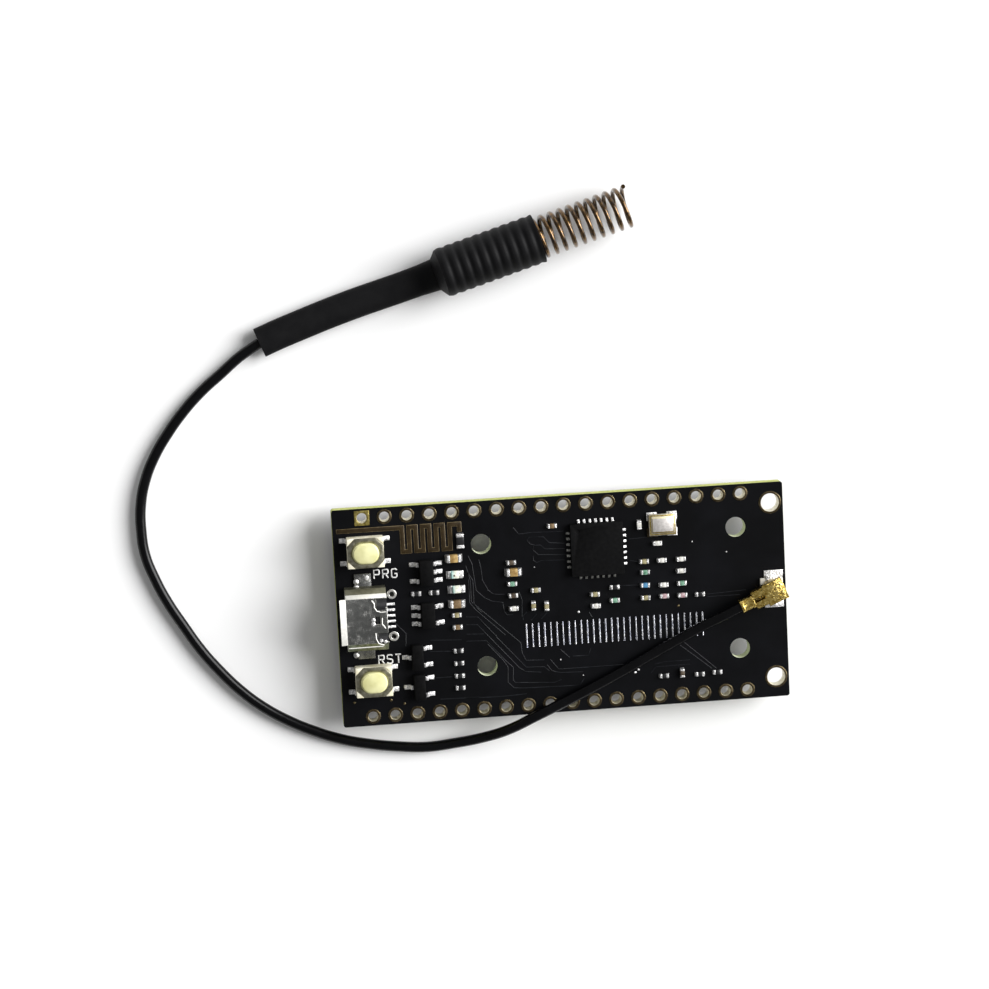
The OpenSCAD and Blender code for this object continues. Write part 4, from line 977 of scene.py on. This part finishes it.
def wire_coil():
    shape = Shape("coil", Turns=float(BARE_TURNS), Pitch=COIL_PITCH, Wire=WIRE_D)
    reach = (COIL_D - WIRE_D) / 2
    spiral = shape.node("GeometryNodeCurveSpiral", None, {
        "Resolution": 24, "Rotations": shape.get("Turns"), "Start Radius": reach, "End Radius": reach,
        "Height": shape.get("Turns") * shape.get("Pitch"), "Reverse": True,
    })
    wire = shape.tube(spiral, shape.get("Wire") * 0.5)
    start = SLEEVE_FROM + COIL_WAY * (RIB_RUN + COIL_START)
    laid = shape.node("GeometryNodeTransform", None, {
        "Geometry": wire, "Translation": tuple(start),
        "Rotation": (math.pi / 2, 0, COIL_TURN + math.pi / 2),
    })
    return shape.run("aerial_coil_wire", laid, bronze)


coil = wire_coil()
shade(coil, 60)
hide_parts("aerial_coil")
print("coil", len(coil.data.polygons))

# %% [markdown]
# The sleeve is a heat-shrunk tube. Over the lead it has collapsed flat, and over the hidden turns
# of the coil it has drawn in between them, which leaves ribs. Rings of points follow that shape,
# and the ribs are sharper at the crest than a sine, because the film is stretched over the wire.

# %% Sleeve
TAIL_W = 3.4 * MM
TAIL_T = 1.9 * MM
SLEEVE_D = 5.6 * MM
GROOVE = 0.12 * MM
RING_SIDES = 64
tail_route = [
    (-32.5, 31.6, 0.95), (-30.2, 32.5, 0.95), (-27.8, 33.35, 0.95), (-25.5, 34.15, 0.95),
    (-23.2, 34.9, 0.95), (-20.9, 35.6, 0.95), (-18.6, 36.25, 0.95), (-16.3, 36.9, 0.95),
    (-14.3, 37.5, 1), (-12.35, 38.1, 1.25),
]


def loft(name, rings, finish):
    """A closed skin through equal rings of points."""
    work = bmesh.new()
    rows = [[work.verts.new(p) for p in ring] for ring in rings]
    count = len(rings[0])
    for low, high in zip(rows, rows[1:]):
        for k in range(count):
            work.faces.new((low[k], low[(k + 1) % count], high[(k + 1) % count], high[k]))
    work.faces.new(list(reversed(rows[0])))
    work.faces.new(rows[-1])
    bmesh.ops.recalc_face_normals(work, faces=work.faces)
    mesh = bpy.data.meshes.new(name)
    work.to_mesh(mesh)
    work.free()
    mesh.materials.append(finish.material)
    piece = link(name, mesh)
    shade(piece, 50)
    return piece


def ring(middle, way, half_w, half_t, square=2.0):
    """Points round a middle, square to a direction; square over 2 flattens the sides."""
    side = Vector((0, 0, 1)).cross(way).normalized()
    up = way.cross(side).normalized()
    found = []
    for k in range(RING_SIDES):
        angle = math.tau * k / RING_SIDES
        c, s = math.cos(angle), math.sin(angle)
        x = math.copysign(abs(c) ** (2 / square), c) * half_w
        y = math.copysign(abs(s) ** (2 / square), s) * half_t
        found.append(middle + side * x + up * y)
    return found


def between(route, where):
    """Smooth point and direction at a share of a route of points."""
    last = len(route) - 1
    i = min(int(where), last - 1)
    t = where - i
    p = [route[max(0, min(last, i + k))] for k in (-1, 0, 1, 2)]
    a = (p[2] - p[0]) / 2
    b = (p[3] - p[1]) / 2
    h = (2 * t**3 - 3 * t**2 + 1, t**3 - 2 * t**2 + t, -2 * t**3 + 3 * t**2, t**3 - t**2)
    g = (6 * t**2 - 6 * t, 3 * t**2 - 4 * t + 1, -6 * t**2 + 6 * t, 3 * t**2 - 2 * t)
    point = p[1] * h[0] + a * h[1] + p[2] * h[2] + b * h[3]
    way = p[1] * g[0] + a * g[1] + p[2] * g[2] + b * g[3]
    return point, way.normalized()


def rib_half(turns):
    """Half height of the ribbed part, in turns from its start."""
    wave = 0.5 + 0.5 * math.cos(math.tau * turns)
    return SLEEVE_D / 2 - GROOVE * wave**1.6


def sleeve_rings():
    tail = [Vector(p) * MM for p in tail_route]
    rings = []
    steps = 72
    per_rib = 12
    for i in range(steps + 1):
        point, way = between(tail, (len(tail) - 1) * i / steps)
        swell = max(0.0, point.z - TAIL_T / 2) * 0.9
        square = 2.6 - 0.6 * min(1, swell / (0.3 * MM))
        rings.append(ring(point, way, TAIL_W / 2 + swell * 0.5, TAIL_T / 2 + swell, square))
    for i in range(int((RIBS - 0.5) * per_rib) + 1):
        half = rib_half(i / per_rib)
        rings.append(ring(SLEEVE_FROM + COIL_WAY * COIL_PITCH * i / per_rib, COIL_WAY, half, half))
    end = SLEEVE_FROM + COIL_WAY * RIB_RUN
    bore = COIL_D / 2 + 0.05 * MM
    rings.append(ring(end, COIL_WAY, bore, bore))
    rings.append(ring(end - COIL_WAY * RECESS, COIL_WAY, bore, bore))
    return rings


sleeve = loft("aerial_sleeve_skin", sleeve_rings(), shrink)
end_plane = (SLEEVE_FROM + COIL_WAY * RIB_RUN).dot(COIL_WAY) / MM


def at_rim(middle, normal):
    return abs(middle.dot(COIL_WAY) - end_plane) < 0.02 and abs(normal.dot(COIL_WAY)) > 0.9


# The end rim of the sleeve takes the pale finish, a painted glint.
repaint(sleeve, sleeve_rim, at_rim)
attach(sleeve, BOARD)
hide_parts("aerial_sleeve")
print("sleeve faces", len(sleeve.data.polygons))

# %% [markdown]
# The light is a white table under one large window, with two weaker ones low at the far side and
# at the right end. The low ones throw the long faint shadows, and the metal reflects them.

# %% Room
def floor():
    work = bmesh.new()
    bmesh.ops.create_grid(work, x_segments=1, y_segments=1, size=0.6)
    mesh = bpy.data.meshes.new("floor")
    work.to_mesh(mesh)
    work.free()
    finish = Finish("floor_paper", (0.9, 0.9, 0.9), roughness=0.95, specular_ior_level=0.05)
    mesh.materials.append(finish.material)
    piece = link("floor", mesh)
    piece.location.z = -0.0002


def sun(name, toward, wide, strength):
    """A far lamp that shines from a direction and is wide degrees across."""
    data = bpy.data.lights.new(name, "SUN")
    data.angle = math.radians(wide)
    data.energy = strength
    piece = link(name, data)
    piece.location = Vector(toward) * 0.5
    piece.rotation_euler = (-Vector(toward)).to_track_quat("-Z", "Y").to_euler()


floor()
sun("window", (0.85, 0.32, 0.62), 45, 4.3)
sun("far_window", (0.2, 0.95, 0.3), 40, 0.5)
sun("end_window", (0.95, 0.12, 0.28), 45, 2.0)
world = bpy.data.worlds.new("room")
world.use_nodes = True
sky = world.node_tree.nodes["Background"]
sky.inputs["Color"].default_value = (1, 1, 1, 1)
sky.inputs["Strength"].default_value = 0.26
scene.world = world
print("lamps", len(bpy.data.lights))
